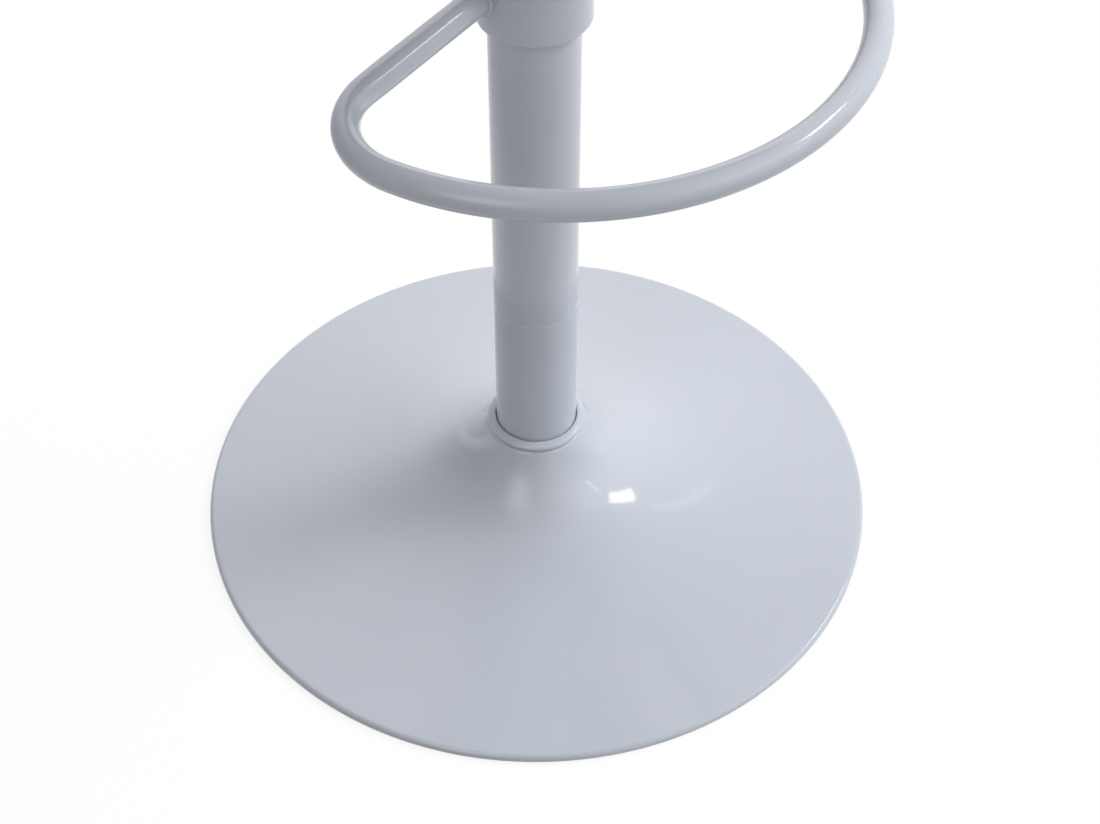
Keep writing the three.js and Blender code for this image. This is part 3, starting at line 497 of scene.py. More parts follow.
def merge(*parts):
    verts, faces = [], []
    for more_verts, more_faces in parts:
        start = len(verts)
        verts.extend(more_verts)
        faces.extend([[start + index for index in face] for face in more_faces])
    return verts, faces


def moved(shape, matrix):
    verts, faces = shape
    return [tuple(matrix @ Vector(point)) for point in verts], faces


def bent_path(corners, bend, steps=14):
    """Points along straight stretches joined by round bends."""
    points = [corners[0]]
    for before, corner, after in zip(corners, corners[1:], corners[2:]):
        start = corner + (before - corner).normalized() * bend
        end = corner + (after - corner).normalized() * bend
        for i in range(steps + 1):
            share = i / steps
            points.append(start.lerp(corner, share).lerp(corner.lerp(end, share), share))
    points.append(corners[-1])
    return points


def heights(node):
    """The lowest and highest level of a solid of the frame, in millimetres."""
    low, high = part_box(node)
    return low.z / MM, high.z / MM


def smooth(mesh, sharp):
    mesh.shade_smooth()
    mesh.set_sharp_from_angle(angle=math.radians(sharp))


def piece(name, shape, body, slot, sharp=35, replaces=()):
    """A named mesh object with outward faces that rides on a body and takes a material slot's finish."""
    mesh = bpy.data.meshes.new(name)
    mesh.from_pydata(shape[0], [], shape[1])
    shell = bmesh.new()
    shell.from_mesh(mesh)
    bmesh.ops.recalc_face_normals(shell, faces=shell.faces)
    shell.to_mesh(mesh)
    shell.free()
    smooth(mesh, sharp)
    mesh.materials.append(BY_SLOT[slot])
    thing = add_object(name, mesh)
    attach(thing, body)
    if replaces:
        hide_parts(*replaces)
    return thing


def solved(thing):
    """An object as its modifiers leave it."""
    bpy.context.view_layer.update()
    return thing.evaluated_get(bpy.context.evaluated_depsgraph_get())


def apply_modifiers(thing):
    result = bpy.data.meshes.new_from_object(solved(thing))
    thing.modifiers.clear()
    thing.data = result


# a cutting tool is turned by some radians, so that its corners miss the piece's mesh lines, and edges shorter
# than the cleaning distance, in millimetres, are taken out
CUT_TURN = 0.05
CUT_CLEANING = 0.002


def cut(thing, tools):
    """Subtracts closed tool shapes from a piece and keeps its material and shading."""
    for shape in tools:
        mesh = bpy.data.meshes.new("tool")
        mesh.from_pydata(shape[0], [], shape[1])
        tool = add_object("tool", mesh)
        modifier = thing.modifiers.new("cut", "BOOLEAN")
        modifier.operation = "DIFFERENCE"
        modifier.solver = "EXACT"
        modifier.object = tool
        apply_modifiers(thing)
        bpy.data.objects.remove(tool)
    solid = bmesh.new()
    solid.from_mesh(thing.data)
    bmesh.ops.remove_doubles(solid, verts=solid.verts, dist=CUT_CLEANING * MM)
    bmesh.ops.dissolve_degenerate(solid, dist=CUT_CLEANING * MM, edges=solid.edges)
    solid.to_mesh(thing.data)
    solid.free()
    smooth(thing.data, sharp=30)


# sizes of the model, in millimetres: GAP lies between pieces that touch
GAP = 0.3
BASE_RADIUS = 205
LIP_ROUND = 3
RIM_HEIGHT = 5.5
NECK_HEIGHT = 67.2
NECK_RADIUS = 29.5
NECK_EDGE_ROUND = 4.5
NECK_EDGE_LEVEL = 64.5
HUB_RADIUS = 27.7
SHEET = 1.2
COLUMN_RADIUS = 24.15
COLUMN_TOP = 430
COLLAR_RADIUS = 29.95
FOOTREST_HEIGHT = 382.5
FOOTREST_TUBE = 7.5


# trumpet base
FLARE_START = BASE_RADIUS - LIP_ROUND
FLARE_DEPTH = (NECK_HEIGHT - RIM_HEIGHT) / (FLARE_START / NECK_RADIUS - 1)


def flare(radius):
    return RIM_HEIGHT + FLARE_DEPTH * (FLARE_START / radius - 1)


def flare_normal(radius):
    """Angle of the flare's outward normal above the level, in degrees."""
    return math.degrees(math.atan2(1, FLARE_DEPTH * FLARE_START / radius ** 2))


def along_normal(radius, distance):
    """The point beside the flare's point at a radius, a distance out along its normal."""
    angle = math.radians(flare_normal(radius))
    return radius + distance * math.cos(angle), flare(radius) + distance * math.sin(angle)


EDGE_RADIUS = FLARE_START / ((NECK_EDGE_LEVEL - RIM_HEIGHT) / FLARE_DEPTH + 1)
EDGE_CENTRE = along_normal(EDGE_RADIUS, -NECK_EDGE_ROUND)


def edge_angle(distance, radius):
    """Angle on the neck's rounded edge, or a distance outside it, at which it reaches a radius."""
    return math.degrees(math.acos((radius - EDGE_CENTRE[0]) / (NECK_EDGE_ROUND + distance)))


def beside_edge(distance, start_radius, end, steps):
    """Points beside the neck's rounded edge, from where they reach a radius to an end angle."""
    size = NECK_EDGE_ROUND + distance
    return arc(*EDGE_CENTRE, size, size, edge_angle(distance, start_radius), end, steps)


def trumpet():
    """A pressed sheet whose flare follows a hyperbola, with a rolled lip and a rounded edge at the neck."""
    steps, inner_every = 90, 3
    foot, outer_bevel, inner_bevel = 1.0, 0.3, 0.2
    join = flare_normal(EDGE_RADIUS)
    radii = [EDGE_RADIUS * (FLARE_START / EDGE_RADIUS) ** (i / steps) for i in range(steps + 1)]
    edge = beside_edge(0, NECK_RADIUS - SHEET, join, 10)
    lip_low = RIM_HEIGHT - LIP_ROUND
    lip = arc(FLARE_START, lip_low, LIP_ROUND, LIP_ROUND, 90, 0, 10)
    rolled_end = [
        (BASE_RADIUS, foot + outer_bevel), (BASE_RADIUS - outer_bevel, foot),
        (BASE_RADIUS - SHEET + inner_bevel, foot), (BASE_RADIUS - SHEET, foot + outer_bevel),
    ]
    inner_lip = arc(FLARE_START, lip_low, LIP_ROUND - SHEET, LIP_ROUND - SHEET, 0, 90, 8)
    inner = [along_normal(radius, -SHEET) for radius in reversed(radii[::inner_every])]
    inner_edge = beside_edge(-SHEET, NECK_RADIUS - SHEET, join, 5)
    outside = edge[:-1] + [(radius, flare(radius)) for radius in radii] + lip[1:] + rolled_end
    outline = outside + inner_lip + inner[1:] + inner_edge[-2::-1]
    piece("trumpet", lathe(outline, 288), "base", "grey_lacquer", sharp=50, replaces=["trumpet_base"])


trumpet()


def cover_ring():
    """A bead on the hub, with a skirt over the neck's rounded edge and a groove outside the skirt."""
    low, high = NECK_HEIGHT + GAP, 71.2
    inner, outer = COLUMN_RADIUS + GAP, NECK_RADIUS
    crown, outer_foot, undercut, rim_round, foot_bevel = 0.9, 0.9, 0.4, 0.25, 0.3
    skirt_out, skirt_in, skirt_foot = 1.0, 1.05, 0.8
    start = inner + crown
    inside = arc(start, high - crown, start - inner, crown, 180, 90, 6)
    outside = arc(start, low + outer_foot, outer - start, high - low - outer_foot, 90, 0, 16)
    rim = arc(outer - rim_round, low + undercut + rim_round, rim_round, rim_round, 0, -90, 4)
    groove = [(NECK_RADIUS - skirt_out, low + undercut), (NECK_RADIUS - skirt_in, low)]
    skirt = beside_edge(GAP, NECK_RADIUS - SHEET, edge_angle(GAP, NECK_RADIUS - skirt_foot), 4)
    seated = [(HUB_RADIUS, low), (inner + foot_bevel, low), (inner, low + foot_bevel)]
    outline = seated + inside + outside[1:] + rim + groove + skirt[::-1]
    piece("cover_ring", lathe(outline), "base", "grey_lacquer", replaces=["neck_cover_ring"])


cover_ring()


# column, bush and lift: the corners of their outlines are (radius, level, round)
def column():
    low = heights("column_tube")[0]
    wall, end_round, inner_round = 2, 0.6, 0.3
    joint, joint_half, joint_depth, joint_lip, joint_foot = 166.0, 1.1, 0.28, 1.2, 0.5
    inner = COLUMN_RADIUS - wall
    outline = rounded([
        (inner, low, inner_round), (COLUMN_RADIUS, low, end_round),
        (COLUMN_RADIUS, joint - joint_half, joint_lip), (COLUMN_RADIUS - joint_depth, joint, joint_foot),
        (COLUMN_RADIUS, joint + joint_half, joint_lip), (COLUMN_RADIUS, COLUMN_TOP, end_round),
        (inner, COLUMN_TOP, inner_round)])
    piece("column", lathe(outline, 192), "base", "grey_lacquer", replaces=["column_tube"])


column()


def bush():
    """A plastic guide in the column's top, whose flange has a shallow dish round the bore."""
    bore, fit = 14.3, 21.85
    dish, dish_foot = 17.4, 16.6
    under_flange, top, low = COLUMN_TOP + GAP, COLUMN_TOP + 5.5, COLUMN_TOP - 80
    deep = top - 1.2
    outline = rounded([
        (bore, low, 0.4), (fit, low, 0.8), (fit, under_flange, 0), (COLUMN_RADIUS, under_flange, 0.3),
        (COLUMN_RADIUS, top, 1.6), (dish, top, 0.5), (dish_foot, deep, 0.4), (bore, deep, 0.4)], 6)
    piece("bush", lathe(outline), "base", "black_plastic", replaces=["guide_bush"])


bush()


def lift_tube():
    """The pressure tube: drawn in at its foot, with a tapered end and a hole for the button at its top."""
    low, high = heights("pressure_tube")
    radius, inner, end_wall, foot_round = 14, 12, 1.5, 1.5
    taper_top, taper_inner, foot_hole, button_hole = 12.9, 10.9, 9, 5.8
    taper_start = high - 44
    outline = rounded([
        (foot_hole, low, 0.3), (radius, low, foot_round), (radius, taper_start, 0), (taper_top, high, 0.8),
        (button_hole, high, 0.2), (button_hole, high - end_wall, 0.2), (taper_inner, high - end_wall, 0.5),
        (inner, taper_start, 0), (inner, low + end_wall, 0.5), (foot_hole, low + end_wall, 0.2)])
    piece("lift_tube", lathe(outline, 128), "seat", "bright_steel", replaces=["pressure_tube"])


lift_tube()


# footrest: BEND_WIDTH is the tube's width in a tight bend as a share of its height
FRONT_RADIUS = 155
FRONT_ANGLE = math.radians(70.7)
CORNER_RADIUS = 42.5
ARM_OFFSET = 12.2
REACH = 174
BEND_WIDTH = 0.92
FRONT_STEPS, CORNER_STEPS, ARM_STEPS = 60, 40, 20
FRONT_EASE, CORNER_EASE, ARM_EASE = 6, 12, 3
ARM_IN_COLLAR = 1.2


def footrest_half():
    """Half of the centreline as (reach, side) points from the front to the collar, the tube's width at each,
    which is less in the tight bend, and the arm's start and direction."""
    centre = REACH - FRONT_RADIUS
    gap = FRONT_RADIUS - CORNER_RADIUS
    corner = Vector((centre + gap * math.cos(FRONT_ANGLE), gap * math.sin(FRONT_ANGLE)))
    end_angle = math.atan2(corner.y, corner.x) + math.acos((ARM_OFFSET - CORNER_RADIUS) / corner.length)
    points, bends = [], []
    for i in range(FRONT_STEPS + 1):
        angle = FRONT_ANGLE * i / FRONT_STEPS
        points.append(Vector((centre + FRONT_RADIUS * math.cos(angle), FRONT_RADIUS * math.sin(angle))))
        bends.append(0.5 * max(0.0, 1.0 - (FRONT_STEPS - i) / FRONT_EASE))
    for i in range(1, CORNER_STEPS + 1):
        angle = FRONT_ANGLE + (end_angle - FRONT_ANGLE) * i / CORNER_STEPS
        points.append(corner + CORNER_RADIUS * Vector((math.cos(angle), math.sin(angle))))
        bends.append(min(1.0, 0.5 + i / CORNER_EASE, 0.5 + (CORNER_STEPS - i) / CORNER_EASE))
    start = points[-1]
    way = Vector((-math.sin(end_angle), math.cos(end_angle)))
    length = -start.dot(way) - math.sqrt((COLLAR_RADIUS - ARM_IN_COLLAR) ** 2 - ARM_OFFSET ** 2)
    for i in range(1, ARM_STEPS + 1):
        points.append(start + way * length * i / ARM_STEPS)
        bends.append(0.5 * max(0.0, 1.0 - i / ARM_EASE))
    return points, [1.0 - (1.0 - BEND_WIDTH) * bend for bend in bends], start, way


def on_footrest(point, side):
    """The place in metres of a (reach, side) point, on the right (side 1) or the left (-1)."""
    return Vector((side * point.y * MM, -point.x * MM, FOOTREST_HEIGHT * MM))


def footrest():
    half, widths, start, way = footrest_half()
    left = [on_footrest(point, -1) for point in reversed(half)]
    path = left + [on_footrest(point, 1) for point in half[1:]]
    shape = tube(path, FOOTREST_TUBE * MM, 40, UP, widths[::-1] + widths[1:])
    piece("footrest", shape, "base", "grey_lacquer", sharp=60, replaces=["footrest_loop"])
    random.seed(11)
    arm_weld("left", -1, start, way)
    arm_weld("right", 1, start, way)


def arm_weld(label, side, start, way):
    """A rippled bead round the line where an arm of the footrest meets the collar."""
    count = 96
    tube_radius, collar_radius = FOOTREST_TUBE + 0.35, COLLAR_RADIUS + 0.2
    bead = []
    for i in range(count):
        angle = TURN * i / count
        base = start + Vector((-way.y, way.x)) * tube_radius * math.cos(angle)
        rise = tube_radius * math.sin(angle)
        # distance along the arm at which this line of the tube meets the collar
        beside = (base - way * base.dot(way)).length_squared
        along = -base.dot(way) - math.sqrt(max(collar_radius ** 2 - beside, 0))
        bead.append(on_footrest(base + way * along, side) + Vector((0, 0, rise * MM)))
    centre = sum(bead, Vector()) / count
    outs = [(point - centre).normalized() for point in bead]
    radii = bead_radii(count, size=1.55, ripple=0.22, ripples=15, jitter=0.08)
    piece(f"arm_weld_{label}", cord(bead, outs, radii, sides=14), "base", "grey_lacquer", sharp=80)


footrest()


def collar():
    """A clamped ring with two countersunk bores for its grub screws."""
    half_height, edge_round, inner_round = 20, 1.5, 0.4
    screw_offset, bore, bore_end, sink, sink_end, tool_end = 12, 3.3, 28.9, 4.6, 30.4, 36
    inner = COLUMN_RADIUS + GAP
    low, high = FOOTREST_HEIGHT - half_height, FOOTREST_HEIGHT + half_height
    outline = rounded([
        (inner, low, inner_round), (COLLAR_RADIUS, low, edge_round),
        (COLLAR_RADIUS, high, edge_round), (inner, high, inner_round)], 6)
    made = piece("collar", lathe(outline), "base", "grey_lacquer", replaces=["footrest_collar"])
    profile = [(0, 0), (bore, 0), (bore, bore_end), (sink, sink_end), (sink, tool_end), (0, tool_end)]
    tools = []
    for offset in (-screw_offset, screw_offset):
        place = Matrix.Translation((0, 0, (FOOTREST_HEIGHT + offset) * MM)) @ turned(-90, "X")
        place = place @ Matrix.Rotation(CUT_TURN, 4, "Z")
        tools.append(moved(lathe(profile, 32, closed=False), place))
    cut(made, tools)


collar()


# seat socket, lever and grip
def socket():
    low, high = heights("seat_socket")
    radius, foot_bore, top_bore = 18.8, 14.2, 13.25
    outline = rounded([(foot_bore, low, 0.4), (radius, low, 0.8), (radius, high, 0.6), (top_bore, high, 0.3)])
    piece("socket", lathe(outline, 128), "seat", "black_steel", replaces=["seat_socket"])
    socket_weld(radius)


def socket_weld(socket_radius):
    """The bead between the socket and the channel's floor, seen from below."""
    count = 180
    radius = (socket_radius + 0.5) * MM
    level = (heights("seat_channel")[0] - 0.5) * MM
    random.seed(5)
    radii = bead_radii(count, size=1.6, ripple=0.2, ripples=34, jitter=0.06)
    turns = [TURN * i / count for i in range(count)]
    points = [Vector((radius * math.cos(turn), radius * math.sin(turn), level)) for turn in turns]
    piece("socket_weld", cord(points, [UP] * count, radii, sides=12), "seat", "black_steel", sharp=80)


socket()

LEVER_LEVEL = 555.8
LEVER_DROP = 20
PIVOT = 24


def on_lever(along, up):
    """A point a distance out along the lever and above its level, both in millimetres."""
    return Vector((-along * MM, 0, (LEVER_LEVEL + up) * MM))


def lever():
    """A bent rod that presses the lift's button with its end, and the eye that it turns on."""
    radius, bend, step = 4, 14, 4
    corners = [on_lever(-9, 0), on_lever(88, 0), on_lever(124, -LEVER_DROP), on_lever(198.5, -LEVER_DROP)]
    path = bent_path(corners, bend * MM)
    filled = [path[0]]
    for a, b in zip(path, path[1:]):
        count = max(1, round((b - a).length / (step * MM)))
        filled.extend(a.lerp(b, (i + 1) / count) for i in range(count))
    verts, faces = tube(filled, radius * MM, 24, ACROSS)
    # the end that presses the button is filed flat underneath
    flat, filed_from = (LEVER_LEVEL - 3.6) * MM, -6 * MM
    filed = [(x, y, max(z, flat) if x > filed_from else z) for x, y, z in verts]
    piece("lever_rod", (filed, faces), "lever", "bright_steel", sharp=50, replaces=["release_lever"])
    hole, eye_radius, eye_half = 2.8, 7.5, 6
    eye = lathe(rounded([(hole, -eye_half, 0.3), (eye_radius, -eye_half, 0.6),
                         (eye_radius, eye_half, 0.6), (hole, eye_half, 0.3)]), 64)
    place = Matrix.Translation((-PIVOT * MM, 0, LEVER_LEVEL * MM)) @ turned(90, "X")
    piece("lever_eye", moved(eye, place), "lever", "bright_steel")


lever()


def grip():
    """A ribbed handle with a rounded end and a stepped mouth."""
    start, end, ribs = 144, 202, 9
    bore, radius, groove = 4.3, 7.5, 6.75
    rib_start, rib_end, dome, end_wall = start + 8, end - 16, 4.5, 3.2
    rib_share, groove_start, groove_end = 0.55, 0.68, 0.86
    step = (rib_end - rib_start) / ribs
    outline = [(bore, start), (5.9, start), (6.9, start + 1.0), (7.4, start + 3.0)]
    for i in range(ribs):
        low = rib_start + (rib_end - rib_start) * i / ribs
        outline += [(radius, low), (radius, low + step * rib_share)]
        outline += [(groove, low + step * groove_start), (groove, low + step * groove_end)]
    outline += [(radius, rib_end), (radius, end - 4)]
    outline += arc(0, end - dome, radius, dome, 5, 88, 10)
    outline += [(0, end), (0, end - end_wall), (bore, end - end_wall)]
    place = Matrix.Translation((0, 0, (LEVER_LEVEL - LEVER_DROP) * MM)) @ turned(-90, "Y")
    shape = moved(lathe(outline, 64), place)
    piece("grip", shape, "lever", "black_plastic", sharp=40, replaces=["lever_grip"])


grip()


# bolts under the seat plate
def bolts():
    """Button-head bolts with a hexagon in the head and a thread of plain rings."""
    head_radius, head_flat, head_round, head_height = 6, 4.2, 2.2, 3.6
    shank, root, pitch, point = 3, 2.75, 1.0, 2.3
    thread_start, thread_spare, point_length = 0.6, 0.8, 0.7
    wide, low, high = 2.3, -2, 2.1
    hexagon = lathe([(0, low), (wide, low), (wide, high), (0, high)], 6, closed=False)
    for i in range(1, 5):
        node = f"seat_bolt_{i}"
        low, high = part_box(node)
        middle = (low + high) / 2
        foot, top = heights(node)
        head = foot + head_height
        outline = rounded([
            (0, foot, 0), (head_flat, foot, 1.0), (head_radius, foot + head_round, 1.2),
            (head_radius, head, 0.3), (shank, head, 0.2)], closed=False)
        level = head + thread_start
        outline.append((shank, level))
        while level + pitch < top - thread_spare:
            outline += [(root, level + pitch / 2), (shank, level + pitch)]
            level += pitch
        outline += [(shank, top - point_length), (point, top), (0, top)]
        shape = lathe(outline, 48, closed=False)
        made = piece(f"bolt_{i}", shape, "seat", "zinc_steel", sharp=28, replaces=[node])
        place = Matrix.Translation((0, 0, foot * MM)) @ Matrix.Rotation(CUT_TURN, 4, "Z")
        cut(made, [moved(hexagon, place)])
        made.data.transform(Matrix.Translation((middle.x, middle.y, 0)))


bolts()


# seat board, dust cover and staples
def board():
    low, high = heights("seat_board")
    radius, bevel = 170, 0.9
    edge = rounded([(0, low, 0), (radius, low, bevel), (radius, high, bevel), (0, high, 0)], 4, closed=False)
    piece("board", lathe(edge, 200, closed=False), "seat", "plywood", replaces=["seat_board"])


board()

STAPLES = 30


def dust_cover():
    """The cloth is pulled tight between staples, so its edge pulls in and its face ripples near the rim."""
    low, high = heights("dust_cover")
    radius, segments, pull, fold_depth = 164, 240, 2.2, 0.25
    shares, pull_share, fold_share = [0.3, 0.6, 0.8, 0.9, 0.95, 1.0], 0.8, 0.6
    centres = [(0, 0, low * MM), (0, 0, high * MM)]
    rings = []
    layers = [(share, low, 1.0) for share in shares] + [(share, high, 0.0) for share in shares[::-1]]
    for share, level, face in layers:
        ring = []
        for j in range(segments):
            angle = TURN * j / segments
            slack = 0.5 - 0.5 * math.cos(angle * STAPLES)
            out = radius * share - pull * slack * max(0.0, share - pull_share) / (1 - pull_share)
            fold = fold_depth * face * slack * max(0.0, share - fold_share) / (1 - fold_share)
            ring.append((out * MM * math.cos(angle), out * MM * math.sin(angle), (level - fold) * MM))
        rings.append(ring)
    verts, numbers = joined([centres] + rings)
    (under, over), numbers = numbers[0], numbers[1:]
    first, last = numbers[0], numbers[-1]
    faces = [[under, first[(j + 1) % segments], first[j]] for j in range(segments)]
    faces += [[over, last[j], last[(j + 1) % segments]] for j in range(segments)]
    for a, b in zip(numbers, numbers[1:]):
        faces += between(a, b)
    piece("underside_cloth", (verts, faces), "seat", "dust_cloth", sharp=60, replaces=["dust_cover"])
    staples(low)


def staples(level):
    """Wire staples round the dust cover, with their backs just below its level."""
    half, leg, back, bend, wire, ring_radius, down = 5, 0.5, -0.25, 0.4, 0.3, 158.5, 0.05
    crown = [Vector((x, 0, z)) for x, z in ((-half, leg), (-half, back), (half, back), (half, leg))]
    path = [point * MM for point in bent_path(crown, bend, 4)]
    bar = tube(path, wire * MM, 8, ACROSS)
    outward = Matrix.Translation((ring_radius * MM, 0, (level - down) * MM)) @ turned(90, "Z")
    shapes = [moved(bar, turned(360 * i / STAPLES, "Z") @ outward) for i in range(STAPLES)]
    piece("staples", merge(*shapes), "seat", "zinc_steel")


dust_cover()


# cushion: half section of the pad before it is inflated, as (radius, level) points in millimetres. PAD_FOOT's
# levels are taken from CUSHION_LOW up.
CUSHION_LOW = 588.2
SEAM_RADIUS = 177.5
SEAM_LEVEL = 633.0
PAD_FOOT = [(0, 0), (120, 0), (166, 0), (172, 1.0), (176, 4.5), (181.5, 12), (184.0, 22), (182.5, 32)]
PAD_SEAM = [(SEAM_RADIUS + 1, SEAM_LEVEL - 3), (SEAM_RADIUS - 0.5, SEAM_LEVEL)]
PAD_TOP = [(171, 635.8), (158, 638.2), (135, 639.4), (100, 640.2), (50, 640.9), (0, 641.2)]


def cushion():
    """The padded seat: flat foot, drawn-in side, seam and crowned top, inflated as cloth."""
    outline = [(radius, CUSHION_LOW + level) for radius, level in PAD_FOOT] + PAD_SEAM + PAD_TOP
    shape = lathe(outline, 120, closed=False)
    pad = piece("cushion", shape, "seat", "upholstery", sharp=180, replaces=["seat_cushion"])
    remesh = pad.modifiers.new("remesh", "REMESH")
    remesh.mode = "VOXEL"
    remesh.voxel_size = 5 * MM
    apply_modifiers(pad)
    inflate(pad)
    finer = pad.modifiers.new("smooth", "SUBSURF")
    finer.levels = finer.render_levels = 1
    apply_modifiers(pad)
    pad.data.shade_smooth()
    return pad


def hold(pad, foot_height=3, seam_width=4.5, seam_core=3, core_weight=0.9, edge_weight=0.5):
    """Pins the foot of the pad, and its seam with less weight. Widths are in millimetres."""
    held = pad.vertex_groups.new(name="held")
    for vertex in pad.data.vertices:
        radius = math.hypot(vertex.co.x, vertex.co.y) / MM
        level = vertex.co.z / MM
        gap = math.hypot(radius - SEAM_RADIUS, level - SEAM_LEVEL)
        if level < CUSHION_LOW + foot_height:
            held.add([vertex.index], 1.0, "REPLACE")
        elif gap < seam_width:
            held.add([vertex.index], core_weight if gap < seam_core else edge_weight, "REPLACE")


CLOTH = {
    "quality": 6, "mass": 0.25, "tension_stiffness": 12, "compression_stiffness": 8, "shear_stiffness": 6,
    "bending_stiffness": 0.6, "use_pressure": True, "uniform_pressure_force": 4.0, "shrink_min": -0.035,
    "vertex_group_mass": "held",
}


def inflate(pad, last_frame=20, limit=9 * MM):
    """Cloth under inner pressure, held at its foot and along the seam, then limited in how far it moved."""
    start = [vertex.co.copy() for vertex in pad.data.vertices]
    hold(pad)
    cloth = pad.modifiers.new("cloth", "CLOTH")
    for name, value in CLOTH.items():
        setattr(cloth.settings, name, value)
    cloth.settings.effector_weights.gravity = 0.0
    cloth.collision_settings.use_collision = False
    cloth.point_cache.frame_end = last_frame
    scene = bpy.context.scene
    for number in range(1, last_frame + 1):
        scene.frame_set(number)
    grown = [vertex.co.copy() for vertex in solved(pad).data.vertices]
    pad.modifiers.clear()
    pad.vertex_groups.clear()
    for vertex, before, after in zip(pad.data.vertices, start, grown):
        step = after - before
        if step.length > limit:
            step = step.normalized() * limit
        spot = before + step
        spot.z = max(spot.z, CUSHION_LOW * MM)
        vertex.co = spot
    scene.frame_set(1)


def seam_places(pad, count=360, cast_from=50 * MM):
    """The seam's real places, found on the finished cloth all round the pad, and directions out of it."""
    corners = [vertex.co[:] for vertex in pad.data.vertices]
    tree = BVHTree.FromPolygons(corners, [list(face.vertices) for face in pad.data.polygons])
    spots, tilts = [], []
    for i in range(count):
        angle = TURN * i / count
        out = Vector((math.cos(angle), math.sin(angle), 0))
        tilt = (out + UP).normalized()
        target = out * SEAM_RADIUS * MM + Vector((0, 0, SEAM_LEVEL * MM))
        spots.append(tree.ray_cast(target + tilt * cast_from, -tilt)[0] or target)
        tilts.append(tilt)
    return spots, tilts


def welt(pad):
    """A covered cord that follows the seam."""
    spots, tilts = seam_places(pad)
    shape = cord(spots, tilts, [2.3 * MM] * len(spots), sides=16, proud=0.9 * MM)
    piece("welt", shape, "seat", "upholstery", sharp=180)


welt(cushion())


# finish of the nodes that stay as they are, with the width of their bevels in millimetres
BEVELS = {
    "base_plate": 0.3, "seat_plate": 0.5, "seat_channel": 0.5, "floor_ring": 0.4, "lever_pin": 0.3,
    "rod_clip": 0.1, "rod_washer": 0.2, "column_foot_plate": 0.3, "collar_screw_1": 0.15,
    "collar_screw_2": 0.15,
}


def dress_nodes():
    for name, node in frame["nodes"].items():
        node.data.materials.clear()
        node.data.materials.append(BY_SLOT[SLOT_OF[name]])
        weld = node.modifiers.new("weld", "WELD")
        weld.merge_threshold = 0.01 * MM
        if name in BEVELS:
            bevel = node.modifiers.new("bevel", "BEVEL")
            bevel.width = BEVELS[name] * MM
            bevel.segments = 3
            bevel.limit_method = "ANGLE"
            bevel.angle_limit = math.radians(40)
        smooth(node.data, sharp=35)


dress_nodes()


# floor, world and lamps: places on the floor are in metres from the stool's axis
FLOOR_HALF = 8.0
FLOOR_SHADOW = 0.15
FLOOR_LIGHT = 0.93
SHADOW_FADES = (1.0, 2.6)
ROOM_STARTS = (0.35, 0.9)
DARK_AZIMUTH = 120
# the azimuth that lies to the right in the picture, and the sky's soft lobes: azimuth from there, elevation,
# sharpness, brightness on the stool and brightness where it is mirrored
RIGHT = -41.4
LOBES = [
    (-25, 35, 10.0, 2.6, 1.1), (55, 50, 10.0, 1.7, 0.6), (15, 40, 40.0, 7.3, 0.0), (150, 20, 6.0, 1.7, 0.0),
    (90, 28, 8.0, 0.0, 1.0), (180, 55, 3.0, 0.0, 0.3), (-116, 24, 40.0, 1.4, 2.0), (-116, 42, 40.0, 1.4, 2.0),
]


def seen_rays(n):
    """Two factors: 1 for rays from the camera, and 1 also for those that mirror or pass through something."""
    path = n.add("LightPath")
    mirrored = n.math("MAXIMUM", path.outputs["Is Glossy Ray"], path.outputs["Is Transmission Ray"])
    return path.outputs["Is Camera Ray"], n.math("MAXIMUM", path.outputs["Is Camera Ray"], mirrored)


def surroundings(n, way):
    """How much darker the room is where it is mirrored from the side: soft upright bands round the stool."""
    x, y = n.split(way)[:2]
    beside = n.minus(n.math("ARCTAN2", y, x), math.radians(DARK_AZIMUTH))
    return n.span(n.math("COSINE", n.times(beside, 2.0)), 0.1, 0.9, 0.0, 0.72)


def make_floor():
    """A floor that is white to the camera, keeps a soft shadow near the stool and is clear from below. It
    mirrors the room's bands far out and lights the stool as a grey floor."""
    made = bpy.data.materials.new("floor")
    n = Nodes(made)
    distance = n.add("VectorMath", _operation="LENGTH", Vector=n.coords()).outputs["Value"]
    keeps = n.span(distance, *SHADOW_FADES, FLOOR_SHADOW, 0.0)
    camera, seen = seen_rays(n)
    dim = n.times(surroundings(n, n.coords()), n.span(distance, *ROOM_STARTS))
    dim = n.minus(1.0, n.times(dim, n.minus(1.0, camera)))
    white = n.add("AddShader")
    n.put(white.inputs[0], n.add("BsdfDiffuse", Color=keeps).outputs[0])
    n.put(white.inputs[1], n.add("Emission", Strength=n.minus(dim, n.times(keeps, FLOOR_LIGHT))).outputs[0])
    cloud = n.noise(n.coords(), 3.0, detail=2.0, roughness=0.5)
    matt = n.add("BsdfDiffuse", Color=n.span(cloud, 0.0, 1.0, 0.44, 0.46))
    upper = n.mix_shaders(seen, matt, white)
    sided = n.mix_shaders(n.geometry("Backfacing"), upper, n.add("BsdfTransparent"))
    n.put(n.add("OutputMaterial").inputs[0], sided.outputs[0])
    mesh = bpy.data.meshes.new("floor")
    corners = [(-1, -1), (1, -1), (1, 1), (-1, 1)]
    mesh.from_pydata([(x * FLOOR_HALF, y * FLOOR_HALF, 0) for x, y in corners], [], [[0, 1, 2, 3]])
    mesh.materials.append(made)
    add_object("floor", mesh)


def direction(azimuth, elevation):
    """A unit vector from angles in degrees."""
    a, e = math.radians(azimuth), math.radians(elevation)
    return math.cos(a) * math.cos(e), math.sin(a) * math.cos(e), math.sin(e)


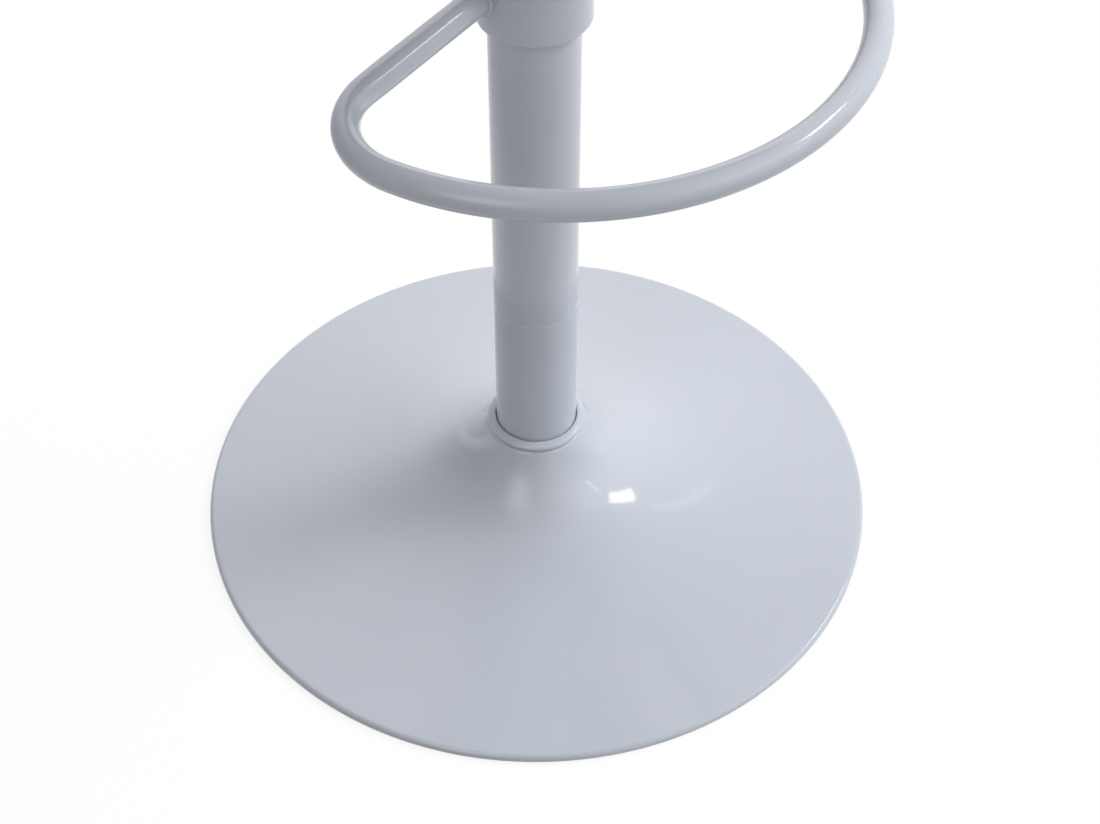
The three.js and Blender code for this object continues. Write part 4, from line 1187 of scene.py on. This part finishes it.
def make_world():
    """White to the camera, with soft lobes of light, and darker overhead where it is mirrored."""
    world = bpy.data.worlds.new("studio")
    bpy.context.scene.world = world
    n = Nodes(world)
    camera, seen = seen_rays(n)
    way = n.add("TexCoord").outputs["Generated"]
    height = n.split(way)[2]
    light, glints = 0.0, 0.0
    for azimuth, elevation, sharpness, brightness, glint in LOBES:
        facing = n.add("VectorMath", _operation="DOT_PRODUCT", Vector=way)
        facing.inputs[1].default_value = direction(azimuth + RIGHT, elevation)
        lobe = n.math("POWER", n.math("MAXIMUM", facing.outputs["Value"], 0.0), sharpness)
        light = n.plus(light, n.times(lobe, brightness))
        glints = n.plus(glints, n.times(lobe, glint))
    soft = n.add("Background", Color=colour(0.97, 0.98, 1.0), Strength=light)
    bands = n.times(surroundings(n, way), n.span(height, 0.30, 0.60, 1.0, 0.0))
    mirrored = n.plus(n.minus(n.span(height, 0.4, 0.85, 1.0, 0.1), bands), glints)
    unseen = n.times(mirrored, n.minus(1.0, camera))
    white = n.add("Background", Color=colour(1, 1, 1), Strength=n.plus(unseen, camera))
    both = n.mix_shaders(seen, soft, white)
    n.put(n.add("OutputWorld").inputs[0], both.outputs[0])


def lamp(name, azimuth, elevation, distance, width, height, strength, lean=0.0):
    """A rectangular softbox that looks at the foot of the column. azimuth is taken from the picture's right,
    strength is its brightness, where 1 is white, and lean turns it about its line of sight."""
    data = bpy.data.lights.new(name, "AREA")
    data.shape = "RECTANGLE"
    data.size = width
    data.size_y = height
    data.energy = strength * math.pi * width * height
    thing = add_object(name, data)
    thing.visible_camera = False
    target = Vector((0, 0, 0.08))
    way = Vector(direction(RIGHT + azimuth, elevation))
    facing = way.to_track_quat("Z", "Y").to_matrix().to_4x4() @ turned(lean, "Z")
    thing.matrix_world = Matrix.Translation(target + way * distance) @ facing


make_floor()
make_world()
lamp("key", 16.7, 40.8, distance=10.0, width=3.04, height=1.41, strength=10.0)
lamp("edge", 42.6, 46.2, distance=2.4, width=0.33, height=0.05, strength=2.4, lean=-3)
lamp("edge_end", 53.7, 44.1, distance=2.4, width=0.36, height=0.05, strength=2.0, lean=-27)
lamp("tail", -10.6, 27.7, distance=2.4, width=0.70, height=0.04, strength=7.0, lean=45)
